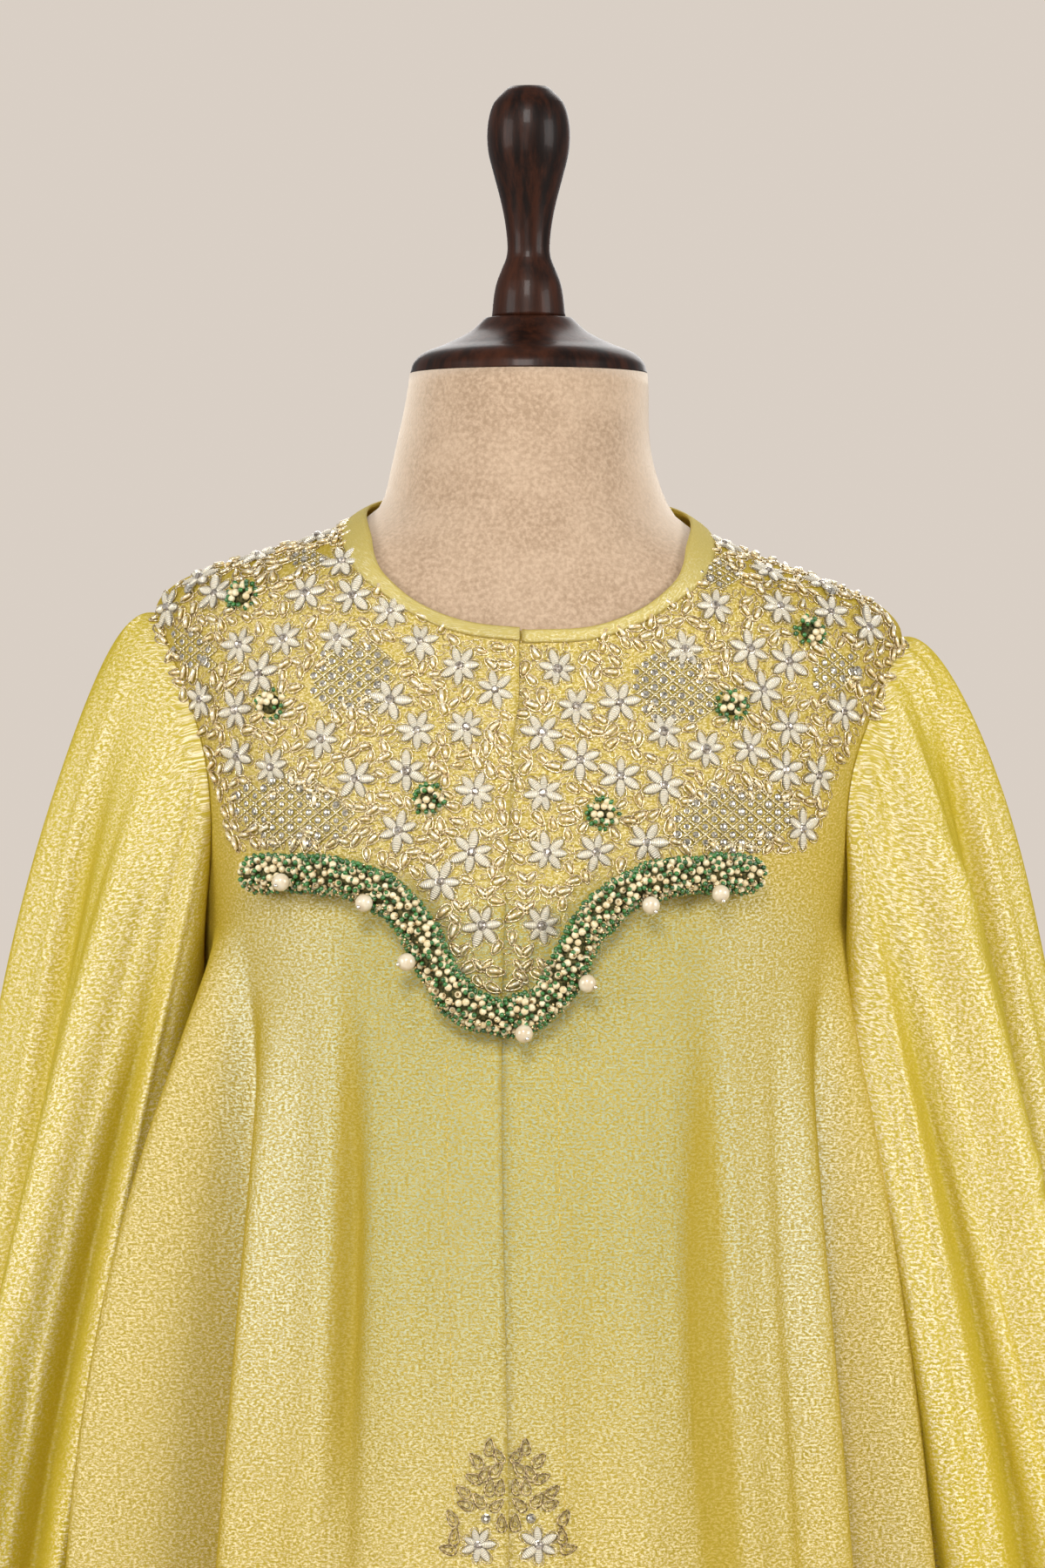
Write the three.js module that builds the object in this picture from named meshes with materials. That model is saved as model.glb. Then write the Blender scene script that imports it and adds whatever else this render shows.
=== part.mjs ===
// A full-length kaftan of sheer tissue cloth with a worked yoke, on a limbless dress form and its stand.
// Millimetres. +Z is up, the front faces -Y, and +X is to the right as seen from the front.
// The origin is the centre of the underside of the stand's base.
import * as THREE from "three";

// Driving sizes of the stand and the form
const BASE_RADIUS = 205;
const BASE_HEIGHT = 24;
const POLE_RADIUS = 17;
const FORM_BOTTOM = 770;
const NECK_TOP = 1476;
const FORM_COLUMNS = 26;
const SEAT_GAP = 0.3;

// Driving sizes of the cloth
const CLOTH = 1.5;
const SEAM_GAP = 0.6;
const NECK_SIDE = 1411;
const UNDERARM = 1218;
const HEM = 62;
const UNDERLAP = 22;
const OVERLAP_LIFT = CLOTH + 0.5;
const BINDING_WIDTH = 6;

// The armhole is an oval on the side of the body: half its height, and half its width as an angle
const ARMHOLE_MIDDLE = 1288;
const ARMHOLE_HALF_HEIGHT = 70;
const ARMHOLE_HALF_ANGLE = 24;
const ARMHOLE_STEPS = 10;
const SLEEVE_HEM = 752;

// How finely the cloth is divided
const FRONT_COLUMNS = 17;
const LAP_COLUMNS = 3;
const BACK_COLUMNS = 30;
const SLEEVE_COLUMNS = 40;
const SLEEVE_ROWS = 11;
const BINDING_COLUMNS = 56;

// The shoulders lean to the right: how far one is down and the other up. The form's neck sways.
const SHOULDER_LEAN = 5.5;
const NECK_SWAY = -2.6;

const DEGREE = Math.PI / 180;

// Horizontal sections of the form: half width, depth to the front and to the back, and the
// power of the superellipse, which is 2 for an ellipse and lower where the shoulders taper
const formSections = [
  { z: 770, half: 146, front: 92, back: 100, power: 2.3 },
  { z: 786, half: 152, front: 98, back: 107, power: 2.3 },
  { z: 860, half: 158, front: 103, back: 114, power: 2.2 },
  { z: 930, half: 155, front: 103, back: 112, power: 2.15 },
  { z: 1000, half: 137, front: 96, back: 94, power: 2.15 },
  { z: 1060, half: 121, front: 90, back: 77, power: 2.15 },
  { z: 1130, half: 132, front: 103, back: 84, power: 2.2 },
  { z: 1190, half: 145, front: 116, back: 93, power: 2.25 },
  { z: 1240, half: 151, front: 109, back: 98, power: 2.25 },
  { z: 1290, half: 160, front: 97, back: 98, power: 2.2 },
  { z: 1324, half: 169, front: 87, back: 95, power: 2.05 },
  { z: 1342, half: 172, front: 82, back: 92, power: 1.9 },
  { z: 1356, half: 172, front: 77, back: 88, power: 1.85 },
  { z: 1366, half: 167, front: 74, back: 84, power: 1.82 },
  { z: 1376, half: 152, front: 71, back: 80, power: 1.8 },
  { z: 1386, half: 125, front: 68, back: 76, power: 1.8 },
  { z: 1396, half: 96, front: 65.5, back: 72, power: 1.82 },
  { z: 1404, half: 79, front: 64, back: 69, power: 1.86 },
  { z: 1412, half: 69, front: 62, back: 66, power: 1.9 },
  { z: 1428, half: 63, front: 59.5, back: 62, power: 2.0 },
  { z: 1447, half: 59, front: 57.5, back: 59, power: 2.0 },
  { z: 1476, half: 56, front: 55.5, back: 56, power: 2.0 },
];

// The neckline: its height at each angle from the centre front
const neckline = [
  { angle: 0, height: 1353 },
  { angle: 10.6, height: 1355.5 },
  { angle: 18.5, height: 1363.5 },
  { angle: 27, height: 1376 },
  { angle: 38, height: 1388.5 },
  { angle: 50, height: 1397 },
  { angle: 68, height: 1405 },
  { angle: 90, height: NECK_SIDE },
  { angle: 120, height: 1417 },
  { angle: 150, height: 1420 },
  { angle: 180, height: 1421 },
];

// How far the outside of the cloth stands off the form's sections, before its folds
const ease = [
  { z: 1218, half: 4.2, front: 2.8, back: 2.8 },
  { z: 1290, half: 3, front: 2.4, back: 2.4 },
  { z: 1340, half: 3, front: 2.5, back: 2.5 },
  { z: 1356, half: 4, front: 2.6, back: 2.6 },
  { z: 1366, half: 5.5, front: 2.8, back: 2.8 },
  { z: 1376, half: 7, front: 2.8, back: 2.8 },
  { z: 1390, half: 7, front: 2.8, back: 2.8 },
  { z: 1404, half: 5.6, front: 2.7, back: 2.7 },
  { z: 1412, half: 4.6, front: 2.6, back: 2.6 },
  { z: 1428, half: 3, front: 2.5, back: 2.5 },
];

// Below the underarm the cloth hangs free, on sections of its own
const hangingSections = [
  { z: 62, half: 305, front: 205, back: 240, power: 2.1 },
  { z: 360, half: 255, front: 178, back: 206, power: 2.15 },
  { z: 600, half: 208, front: 158, back: 176, power: 2.2 },
  { z: 760, half: 183, front: 147, back: 155, power: 2.25 },
  { z: 930, half: 166, front: 136, back: 136, power: 2.3 },
  { z: 1060, half: 155, front: 130, back: 119, power: 2.3 },
  { z: 1150, half: 150, front: 124.5, back: 106, power: 2.3 },
  { z: 1190, half: 150.5, front: 120, back: 100, power: 2.27 },
  { z: 1218, half: 153, front: 115.8, back: 98.8, power: 2.25 },
];

// Folds of the body. at is the angle from the centre front, drift how far that moves in degrees for
// each metre down, width half the fold's width in degrees, and top where it begins. middle is how far
// it stands out at the level of the hips, and hem how far at the hem. A trough is negative.
const bodyFolds = [
  { at: -18, drift: 0, width: 7, top: 1110, middle: 3, hem: 13 },
  { at: -29, drift: 0, width: 6, top: 1180, middle: -5, hem: -14 },
  { at: -49, drift: 0, width: 8, top: 1190, middle: 13, hem: 24 },
  { at: -57, drift: 0, width: 5.5, top: 1190, middle: -10, hem: -14 },
  { at: -66, drift: 0, width: 10, top: 1218, middle: 63, hem: 70 },
  { at: 8, drift: 3, width: 7, top: 1130, middle: -4, hem: -14 },
  { at: 24, drift: -2, width: 8, top: 1150, middle: -3, hem: 13 },
  { at: 53, drift: 0, width: 8, top: 1200, middle: 12, hem: 24 },
  { at: 62, drift: 0, width: 5, top: 1190, middle: -9, hem: -12 },
  { at: 70, drift: 0, width: 8.5, top: 1218, middle: 31, hem: 60 },
  { at: 104, drift: 0, width: 12, top: 1050, middle: 8, hem: 40 },
  { at: 121, drift: -2, width: 12, top: 1200, middle: 46, hem: 58 },
  { at: 138, drift: 0, width: 9, top: 1180, middle: -10, hem: -20 },
  { at: 155, drift: 2, width: 10, top: 1160, middle: 16, hem: 34 },
  { at: 170, drift: -4, width: 8, top: 1150, middle: -8, hem: -20 },
  { at: -172, drift: 4, width: 9, top: 1150, middle: 10, hem: 26 },
  { at: -156, drift: 0, width: 8, top: 1160, middle: -10, hem: -22 },
  { at: -140, drift: 2, width: 10, top: 1190, middle: 18, hem: 30 },
  { at: -122, drift: 2, width: 12, top: 1200, middle: 50, hem: 60 },
  { at: -104, drift: 0, width: 12, top: 1050, middle: 6, hem: 36 },
];

// The levels of the rings below the underarm
const hangingLevels = [1192, 1156, 1112, 1060, 1000, 932, 858, 776, 676, 550, 400, 230, HEM];

// Four lines down a sleeve, from the armhole to its hem. first and last are the handles of the
// curve: out away from the body, forward to the front, and down.
const sleeveLines = [
  { line: "top", out: 50, forward: 0, down: -8, lastOut: -51, lastForward: 0, lastUp: 300 },
  { line: "front", out: 16, forward: 22, down: 70, lastOut: -18, lastForward: 0, lastUp: 250 },
  { line: "under", out: 6, forward: 0, down: 50, lastOut: -29, lastForward: 0, lastUp: 240 },
  { line: "back", out: 16, forward: -26, down: 70, lastOut: -18, lastForward: 8, lastUp: 250 },
];
const sleeveHem = { out: 251, halfOut: 57, half: 82, forward: -18 };

// Folds of the sleeves. at is the angle round the sleeve: 0 on top, 90 in front, 180 underneath and
// 270 behind. start is the share of the way down where a fold begins, and middle and hem are how
// far it stands out at the armhole's end and at the hem.
const sleeveFolds = {
  left: [
    { at: 12, width: 17, start: 0.12, middle: 5, hem: 12 },
    { at: 38, width: 13, start: 0.1, middle: -6, hem: -15 },
    { at: 62, width: 15, start: 0.08, middle: 8, hem: 20 },
    { at: 92, width: 16, start: 0.1, middle: -7, hem: -16 },
    { at: 122, width: 14, start: 0.3, middle: 0, hem: 8 },
    { at: 235, width: 16, start: 0.2, middle: 5, hem: 16 },
    { at: 266, width: 15, start: 0.15, middle: -8, hem: -16 },
    { at: 296, width: 16, start: 0.12, middle: 9, hem: 20 },
    { at: 328, width: 14, start: 0.12, middle: -7, hem: -15 },
  ],
  right: [
    { at: 8, width: 14, start: 0.06, middle: 5, hem: 14 },
    { at: 32, width: 12, start: 0.04, middle: -10, hem: -17 },
    { at: 56, width: 15, start: 0.03, middle: 14, hem: 22 },
    { at: 88, width: 15, start: 0.1, middle: -6, hem: -15 },
    { at: 118, width: 14, start: 0.3, middle: 3, hem: 12 },
    { at: 235, width: 16, start: 0.2, middle: 5, hem: 16 },
    { at: 264, width: 14, start: 0.15, middle: -8, hem: -16 },
    { at: 292, width: 15, start: 0.1, middle: 10, hem: 20 },
    { at: 324, width: 13, start: 0.08, middle: -8, hem: -15 },
  ],
};

// The bead border under the yoke, one half of a shape that is the same on both sides of its point:
// the distance from the point, and the height above it
const BORDER_CENTRE = -11;
const BORDER_LOW = 1176;
const BORDER_RADIUS = 7.2;
const borderHalf = [
  { along: 0, up: 0 },
  { along: 18, up: 7 },
  { along: 29, up: 24 },
  { along: 36, up: 39 },
  { along: 50, up: 53 },
  { along: 68, up: 62 },
  { along: 90, up: 65 },
  { along: 113, up: 65 },
];

// Pearls that hang from the border: how far along from its point, and the angle at which each hangs
// forward of the cloth
const PEARL_RADIUS = 4.1;
const pearls = [
  { from: -92, forward: 65 },
  { from: -55, forward: 50 },
  { from: -31, forward: 40 },
  { from: 0, forward: 46 },
  { from: 27, forward: 25 },
  { from: 59, forward: 32 },
  { from: 92, forward: 35 },
];

// Small domes of beads on the yoke: places across the front and up it
const TUFT_RADIUS = 6.5;
const TUFT_HEIGHT = 5;
const tufts = [
  { x: -133, z: 1366 },
  { x: -119, z: 1316 },
  { x: -45, z: 1275 },
  { x: 34, z: 1270 },
  { x: 93, z: 1322 },
  { x: 130, z: 1358 },
];

// Turned pieces: the radius at each height
const finialProfile = [
  { z: 0, radius: 17.4 },
  { z: 10, radius: 16.4 },
  { z: 16.4, radius: 15.1 },
  { z: 22.7, radius: 12.7 },
  { z: 28, radius: 10.6 },
  { z: 33.2, radius: 10 },
  { z: 43.6, radius: 11 },
  { z: 54, radius: 13 },
  { z: 66.6, radius: 16.3 },
  { z: 77, radius: 18.9 },
  { z: 85.5, radius: 19.6 },
  { z: 93.8, radius: 18.8 },
  { z: 101.2, radius: 16.3 },
  { z: 106.4, radius: 11.5 },
  { z: 108.5, radius: 9 },
];
const CAP_HEIGHT = 26;
const capProfile = [
  { z: 0, radius: 55.8 },
  { z: 5.2, radius: 54 },
  { z: 9.6, radius: 49 },
  { z: 13.2, radius: 40 },
  { z: 19.2, radius: 28 },
  { z: CAP_HEIGHT, radius: 20.4 },
];
const baseProfile = [
  { z: 0, radius: BASE_RADIUS - 3 },
  { z: 3, radius: BASE_RADIUS },
  { z: 13, radius: BASE_RADIUS },
  { z: 18, radius: BASE_RADIUS - 6 },
  { z: BASE_HEIGHT, radius: BASE_RADIUS - 34 },
];

// A smooth curve of one column of a table against another, whose values rise row by row
function curve(table, key, name, at) {
  const last = table.length - 1;
  if (at <= table[0][key]) return table[0][name];
  if (at >= table[last][key]) return table[last][name];
  const i = table.findIndex((row) => row[key] > at) - 1;
  const slope = (k) => {
    const [low, high] = [table[Math.max(k - 1, 0)], table[Math.min(k + 1, last)]];
    return (high[name] - low[name]) / (high[key] - low[key]);
  };
  const step = table[i + 1][key] - table[i][key];
  const t = (at - table[i][key]) / step;
  const rise = table[i + 1][name] - table[i][name];
  const a = slope(i) * step - rise;
  const b = rise - slope(i + 1) * step;
  return table[i][name] + t * rise + t * (1 - t) * (a * (1 - t) + b * t);
}

const smooth = (t) => {
  const u = Math.min(Math.max(t, 0), 1);
  return u * u * (3 - 2 * u);
};
const bump = (t) => (Math.abs(t) < 1 ? Math.cos((t * Math.PI) / 2) ** 2 : 0);
const power = (value, exponent) => Math.sign(value) * Math.abs(value) ** exponent;
const turned = (angle) => ((((angle + 180) % 360) + 360) % 360) - 180;

// A point of a superellipse section. The angle is 0 at the centre front and 90 at the right side.
function onSection(section, angle, z) {
  const across = Math.sin(angle * DEGREE);
  const ahead = Math.cos(angle * DEGREE);
  const exponent = 2 / section.power;
  const depth = ahead > 0 ? section.front : section.back;
  const x = section.half * power(across, exponent);
  const leaning = smooth((z - UNDERARM) / 110) * (1 - smooth((z - 1400) / 60));
  const lean = SHOULDER_LEAN * (x / 170) * leaning;
  return new THREE.Vector3(x, -depth * power(ahead, exponent), z - lean);
}

const sectionAt = (table, z) => ({
  half: curve(table, "z", "half", z),
  front: curve(table, "z", "front", z),
  back: curve(table, "z", "back", z),
  power: curve(table, "z", "power", z),
});

function clothSection(z) {
  if (z < UNDERARM) return sectionAt(hangingSections, z);
  const section = sectionAt(formSections, z);
  section.half += curve(ease, "z", "half", z);
  section.front += curve(ease, "z", "front", z);
  section.back += curve(ease, "z", "back", z);
  return section;
}

// How far the folds move the cloth out at an angle and a height
function foldDepth(angle, z) {
  const hips = 930;
  let out = 0;
  for (const fold of bodyFolds) {
    if (z >= fold.top) continue;
    const centre = fold.at + (fold.drift * (fold.top - z)) / 1000;
    const share = bump(turned(angle - centre) / fold.width);
    if (share === 0) continue;
    const begun = 1 - Math.max((z - hips) / (fold.top - hips), 0) ** 2.3;
    const down = Math.max((hips - z) / (hips - HEM), 0);
    out += share * begun * (fold.middle + (fold.hem - fold.middle) * down);
  }
  return out;
}

// The outside of the cloth, with its folds
function bodyPoint(angle, z, lift = 0) {
  const point = onSection(clothSection(z), angle, z);
  const out = foldDepth(angle, z) + lift;
  const length = Math.hypot(point.x, point.y);
  point.x += (point.x / length) * out;
  point.y += (point.y / length) * out;
  return point;
}

const neckHeight = (angle) => curve(neckline, "angle", "height", Math.abs(turned(angle)));

// The angle at which the front of the cloth is a distance across from the middle
function angleAcross(x, z) {
  const section = clothSection(z);
  const share = Math.min(Math.abs(x) / section.half, 1);
  return (Math.sign(x) * Math.asin(share ** (section.power / 2))) / DEGREE;
}

// The centre front edge leans a little to one side, as the garment hangs
function frontEdge(z) {
  const lean = [
    { z: 62, x: -10 },
    { z: 930, x: -9 },
    { z: 1180, x: -12 },
    { z: 1355, x: -4 },
  ];
  return curve(lean, "z", "x", z);
}

// The rings of the body, from the neck down. z is a ring's height at the side seam or the armhole,
// and side the angle there.
function bodyRings() {
  const shoulder = [NECK_SIDE, NECK_SIDE - BINDING_WIDTH, 1396, 1386, 1376, 1366];
  const levels = [...shoulder, ...hangingLevels].map((z) => ({ z, side: 90 }));
  for (let k = 0; k <= ARMHOLE_STEPS; k++) {
    const turn = (Math.PI * k) / ARMHOLE_STEPS;
    const z = ARMHOLE_MIDDLE + ARMHOLE_HALF_HEIGHT * Math.cos(turn);
    levels.push({ z, side: 90 - ARMHOLE_HALF_ANGLE * Math.sin(turn) });
  }
  return levels.sort((a, b) => b.z - a.z);
}

const rings = bodyRings();

// A ring is level below the underarm. Above it, a ring is curved like the neckline.
function ringHeight(ring, angle) {
  if (ring.z <= UNDERARM) return ring.z;
  const edge = neckHeight(Math.abs(angle) < 90 ? ring.side : 180 - ring.side);
  const share = (edge - ring.z) / (edge - UNDERARM);
  return neckHeight(angle) + (UNDERARM - neckHeight(angle)) * share;
}

// The angle at which a panel ends, half a seam's gap from the side seam or the armhole
function panelEnd(ring, depth) {
  const section = clothSection(ring.z);
  const seam = Math.asin((SEAM_GAP / 2 / section[depth]) ** (section.power / 2));
  const hole = SEAM_GAP / 2 / section.half;
  return ring.side - Math.max(seam, hole) / DEGREE;
}

// Shares across a panel, closer together where its folds are deep
const FOLD_SHARE = 0.6;
const FOLD_CROWDING = 0.075;
function acrossPanel(count) {
  const wave = (t) => Math.sin(2 * Math.PI * (t - FOLD_SHARE));
  return Array.from({ length: count + 1 }, (_, i) => {
    const t = i / count;
    return t - FOLD_CROWDING * (wave(t) - wave(0));
  });
}

// Rows of points on a surface, moved out along its normals. Rows run down, and their points run to
// the right as seen from outside. closed says that each row runs round to its own start.
function movedOut(rows, distance, closed = false) {
  const R = rows.length;
  const C = rows[0].length;
  const at = (r, c) => rows[r][closed ? (c + C) % C : Math.min(Math.max(c, 0), C - 1)];
  return rows.map((row, r) =>
    row.map((point, c) => {
      const across = at(r, c + 1).clone().sub(at(r, c - 1));
      const down = at(Math.min(r + 1, R - 1), c).clone().sub(at(Math.max(r - 1, 0), c));
      return point.clone().addScaledVector(down.cross(across).normalize(), distance);
    }),
  );
}

// A closed wall from rows of points on its outside
function wall(rows, thickness, closed = false) {
  const R = rows.length;
  const C = rows[0].length;
  const inner = movedOut(rows, -thickness, closed);
  const points = [...rows.flat(), ...inner.flat()];
  const outerIndex = (r, c) => r * C + (c % C);
  const innerIndex = (r, c) => R * C + r * C + (c % C);
  const faces = [];
  const quad = (a, b, c, d) => faces.push(a, b, c, a, c, d);
  const across = closed ? C : C - 1;
  for (let c = 0; c < across; c++) {
    for (let r = 0; r < R - 1; r++) {
      quad(outerIndex(r, c), outerIndex(r + 1, c), outerIndex(r + 1, c + 1), outerIndex(r, c + 1));
      quad(innerIndex(r, c), innerIndex(r, c + 1), innerIndex(r + 1, c + 1), innerIndex(r + 1, c));
    }
    const end = R - 1;
    quad(outerIndex(0, c), outerIndex(0, c + 1), innerIndex(0, c + 1), innerIndex(0, c));
    quad(outerIndex(end, c), innerIndex(end, c), innerIndex(end, c + 1), outerIndex(end, c + 1));
  }
  for (let r = 0; r < R - 1 && !closed; r++) {
    const end = C - 1;
    quad(outerIndex(r, 0), innerIndex(r, 0), innerIndex(r + 1, 0), outerIndex(r + 1, 0));
    quad(outerIndex(r, end), outerIndex(r + 1, end), innerIndex(r + 1, end), innerIndex(r, end));
  }
  return solid(points, faces);
}

// A closed mesh, turned so that its faces point out
function solid(points, faces) {
  let volume = 0;
  for (let i = 0; i < faces.length; i += 3) {
    const [a, b, c] = [points[faces[i]], points[faces[i + 1]], points[faces[i + 2]]];
    volume += a.dot(b.clone().cross(c));
  }
  if (volume < 0) faces.reverse();
  const geometry = new THREE.BufferGeometry().setFromPoints(points);
  geometry.setIndex(faces);
  geometry.computeVertexNormals();
  return geometry;
}

// A solid through closed rings, with a point in the middle of each end
function loft(sections) {
  const C = sections[0].length;
  const points = sections.flat();
  const middle = (section) =>
    section.reduce((sum, p) => sum.add(p), new THREE.Vector3()).divideScalar(C);
  const first = points.push(middle(sections[0])) - 1;
  const final = points.push(middle(sections.at(-1))) - 1;
  const faces = [];
  const end = (sections.length - 1) * C;
  for (let c = 0; c < C; c++) {
    const next = (c + 1) % C;
    for (let r = 0; r < end; r += C) {
      faces.push(r + c, r + C + c, r + C + next, r + c, r + C + next, r + next);
    }
    faces.push(first, c, next, final, end + next, end + c);
  }
  return solid(points, faces);
}

// How far the left front is lifted, at a distance in from its edge, to lie over the right one
const lapLift = (inward) => OVERLAP_LIFT * (1 - smooth((inward - UNDERLAP) / UNDERLAP));
const inFromEdge = (angle, z) => frontEdge(z) - onSection(clothSection(z), angle, z).x;

// The angles of a front's points, from the centre out. The strip where one front lies over the
// other has its points in the same places on both.
function frontAngles(side, ring, columns) {
  const z = ringHeight(ring, 0);
  const lap = Array.from({ length: LAP_COLUMNS + 1 }, (_, i) =>
    angleAcross(frontEdge(z) - (UNDERLAP * i) / LAP_COLUMNS, z),
  );
  if (side > 0) lap.reverse();
  const start = lap.pop();
  const end = side * panelEnd(ring, "front");
  return [...lap, ...acrossPanel(columns).map((share) => start + (end - start) * share)];
}

function frontPanel(side, columns) {
  const rows = rings.map((ring) => {
    const angles = frontAngles(side, ring, columns);
    if (side < 0) angles.reverse();
    return angles.map((angle) => {
      const z = ringHeight(ring, angle);
      return bodyPoint(angle, z, side < 0 ? lapLift(inFromEdge(angle, z)) : 0);
    });
  });
  return wall(rows, CLOTH);
}

function backPanel(columns) {
  const rows = rings.map((ring) => {
    const half = panelEnd(ring, "back");
    return Array.from({ length: columns + 1 }, (_, i) => {
      const angle = 180 - half + (2 * half * i) / columns;
      return bodyPoint(angle, ringHeight(ring, angle));
    });
  });
  return wall(rows, CLOTH);
}

// A point of the armhole's edge at an angle round the sleeve. The edge is straight between the
// body's rings, and a seam's gap smaller than the hole.
function armholePoint(side, around) {
  const inset = SEAM_GAP / 2;
  const width = ARMHOLE_HALF_ANGLE - inset / clothSection(ARMHOLE_MIDDLE).half / DEGREE;
  const step = 180 / ARMHOLE_STEPS;
  const corner = (k) => {
    const turn = k * step * DEGREE;
    const z = ARMHOLE_MIDDLE + (ARMHOLE_HALF_HEIGHT - inset) * Math.cos(turn);
    return bodyPoint(side * (90 - width * Math.sin(turn)), z);
  };
  const k = Math.floor(around / step);
  return corner(k).lerp(corner(k + 1), around / step - k);
}

// The sleeve before its folds: a curve from the armhole down to the sleeve's hem
function sleeveLine(side, around, t) {
  const c = Math.cos(around * DEGREE);
  const s = Math.sin(around * DEGREE);
  const weights = [Math.max(c, 0), Math.max(s, 0), Math.max(-c, 0), Math.max(-s, 0)];
  const blend = (name) =>
    weights.reduce((sum, weight, i) => sum + weight ** 2 * sleeveLines[i][name], 0);
  const start = armholePoint(side, around);
  const end = new THREE.Vector3(
    side * (sleeveHem.out + sleeveHem.halfOut * c),
    -sleeveHem.half * s - sleeveHem.forward,
    SLEEVE_HEM,
  );
  const first = new THREE.Vector3(side * blend("out"), -blend("forward"), -blend("down"));
  const last = new THREE.Vector3(side * blend("lastOut"), -blend("lastForward"), blend("lastUp"));
  const curve = new THREE.CubicBezierCurve3(start, first.add(start), last.add(end), end);
  return curve.getPoint(t);
}

function sleeveFold(folds, around, t) {
  return folds.reduce((sum, fold) => {
    const share = bump(turned(around - fold.at) / fold.width);
    const begun = smooth((t - fold.start) / 0.35);
    return sum + share * begun * (fold.middle + (fold.hem - fold.middle) * t);
  }, 0);
}

function sleevePoint(side, around, t) {
  const step = 0.5;
  const point = sleeveLine(side, around, t);
  const before = sleeveLine(side, around - step, t);
  const after = sleeveLine(side, around + step, t);
  const above = sleeveLine(side, around, Math.max(t - 0.01, 0));
  const below = sleeveLine(side, around, Math.min(t + 0.01, 1));
  const outward = after.sub(before).cross(below.sub(above)).normalize().multiplyScalar(side);
  const folds = side < 0 ? sleeveFolds.left : sleeveFolds.right;
  return point.addScaledVector(outward, sleeveFold(folds, around, t));
}

function sleeve(side) {
  const rows = [];
  for (let r = 0; r <= SLEEVE_ROWS; r++) {
    const t = (r / SLEEVE_ROWS) ** 1.25;
    rows.push(
      Array.from({ length: SLEEVE_COLUMNS }, (_, i) => {
        const around = (360 * i) / SLEEVE_COLUMNS;
        return sleevePoint(side, side > 0 ? 360 - around : around, t);
      }),
    );
  }
  return wall(rows, CLOTH, true);
}

// The binding round the neck lies on the first two rings of the panels
function neckBinding() {
  const thick = 1.2;
  const rows = [rings[0], rings[1]].map((ring) => {
    const z = ringHeight(ring, 0);
    const edge = angleAcross(frontEdge(z), z);
    const start = angleAcross(frontEdge(z) + 0.6, z);
    return Array.from({ length: BINDING_COLUMNS + 1 }, (_, i) => {
      const angle = turned(start + ((360 + edge - start) * i) / BINDING_COLUMNS);
      const height = ringHeight(ring, angle);
      const inward = inFromEdge(angle, height);
      return bodyPoint(angle, height, inward > -0.3 ? lapLift(inward) : 0);
    });
  });
  return wall(movedOut(rows, 1.7 * SEAT_GAP + thick), thick);
}

// A point on the outside of a front, at a distance across and a height, lifted off the cloth
function frontPoint(x, z, lift = 0) {
  const angle = angleAcross(x, z);
  return bodyPoint(angle, z, lift + lapLift(Math.abs(inFromEdge(angle, z))));
}

function frontNormal(x, z) {
  const across = frontPoint(x + 2, z).sub(frontPoint(x - 2, z));
  const down = frontPoint(x, z - 2).sub(frontPoint(x, z + 2));
  return down.cross(across).normalize();
}

// The middle line of the bead border, and its own directions there
function borderAt(from) {
  const place = (d) => {
    const x = BORDER_CENTRE + d;
    return frontPoint(x, BORDER_LOW + curve(borderHalf, "along", "up", Math.abs(d)), BORDER_RADIUS + 0.5);
  };
  const centre = place(from);
  const along = place(from + 0.5).sub(place(from - 0.5)).normalize();
  const outward = frontNormal(centre.x, centre.z);
  const upward = outward.clone().cross(along).normalize();
  return { centre, along, outward, upward: upward.z > 0 ? upward : upward.negate() };
}

function beadBorder(steps, sides) {
  const reach = borderHalf.at(-1).along;
  const sections = Array.from({ length: steps + 1 }, (_, i) => {
    const { centre, outward, upward } = borderAt(-reach + (2 * reach * i) / steps);
    return Array.from({ length: sides }, (_, k) => {
      const turn = (2 * Math.PI * (k + 0.5)) / sides;
      return centre
        .clone()
        .addScaledVector(outward, BORDER_RADIUS * Math.cos(turn))
        .addScaledVector(upward, BORDER_RADIUS * Math.sin(turn));
    });
  });
  return loft(sections);
}

function pearlPlace({ from, forward }) {
  const { centre, outward, upward } = borderAt(from);
  const reach = BORDER_RADIUS + PEARL_RADIUS + SEAT_GAP;
  return centre
    .addScaledVector(upward, -reach * Math.cos(forward * DEGREE))
    .addScaledVector(outward, reach * Math.sin(forward * DEGREE));
}

// A turned solid from a table of radii, on the Z axis
function turnedSolid(profile, bottom, sides) {
  const sections = profile.map(({ z, radius }) =>
    Array.from({ length: sides }, (_, k) => {
      const turn = (2 * Math.PI * k) / sides;
      return new THREE.Vector3(radius * Math.cos(turn), radius * Math.sin(turn), bottom + z);
    }),
  );
  return loft(sections);
}

// The form, with its neck a little to the left of its own top and bottom
function form() {
  const sections = formSections.map((section) => {
    const sway = NECK_SWAY * bump((section.z - 1437) / 40);
    return Array.from({ length: FORM_COLUMNS }, (_, i) => {
      const point = onSection(section, (360 * i) / FORM_COLUMNS, section.z);
      return point.setX(point.x + sway);
    });
  });
  return loft(sections);
}

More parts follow.
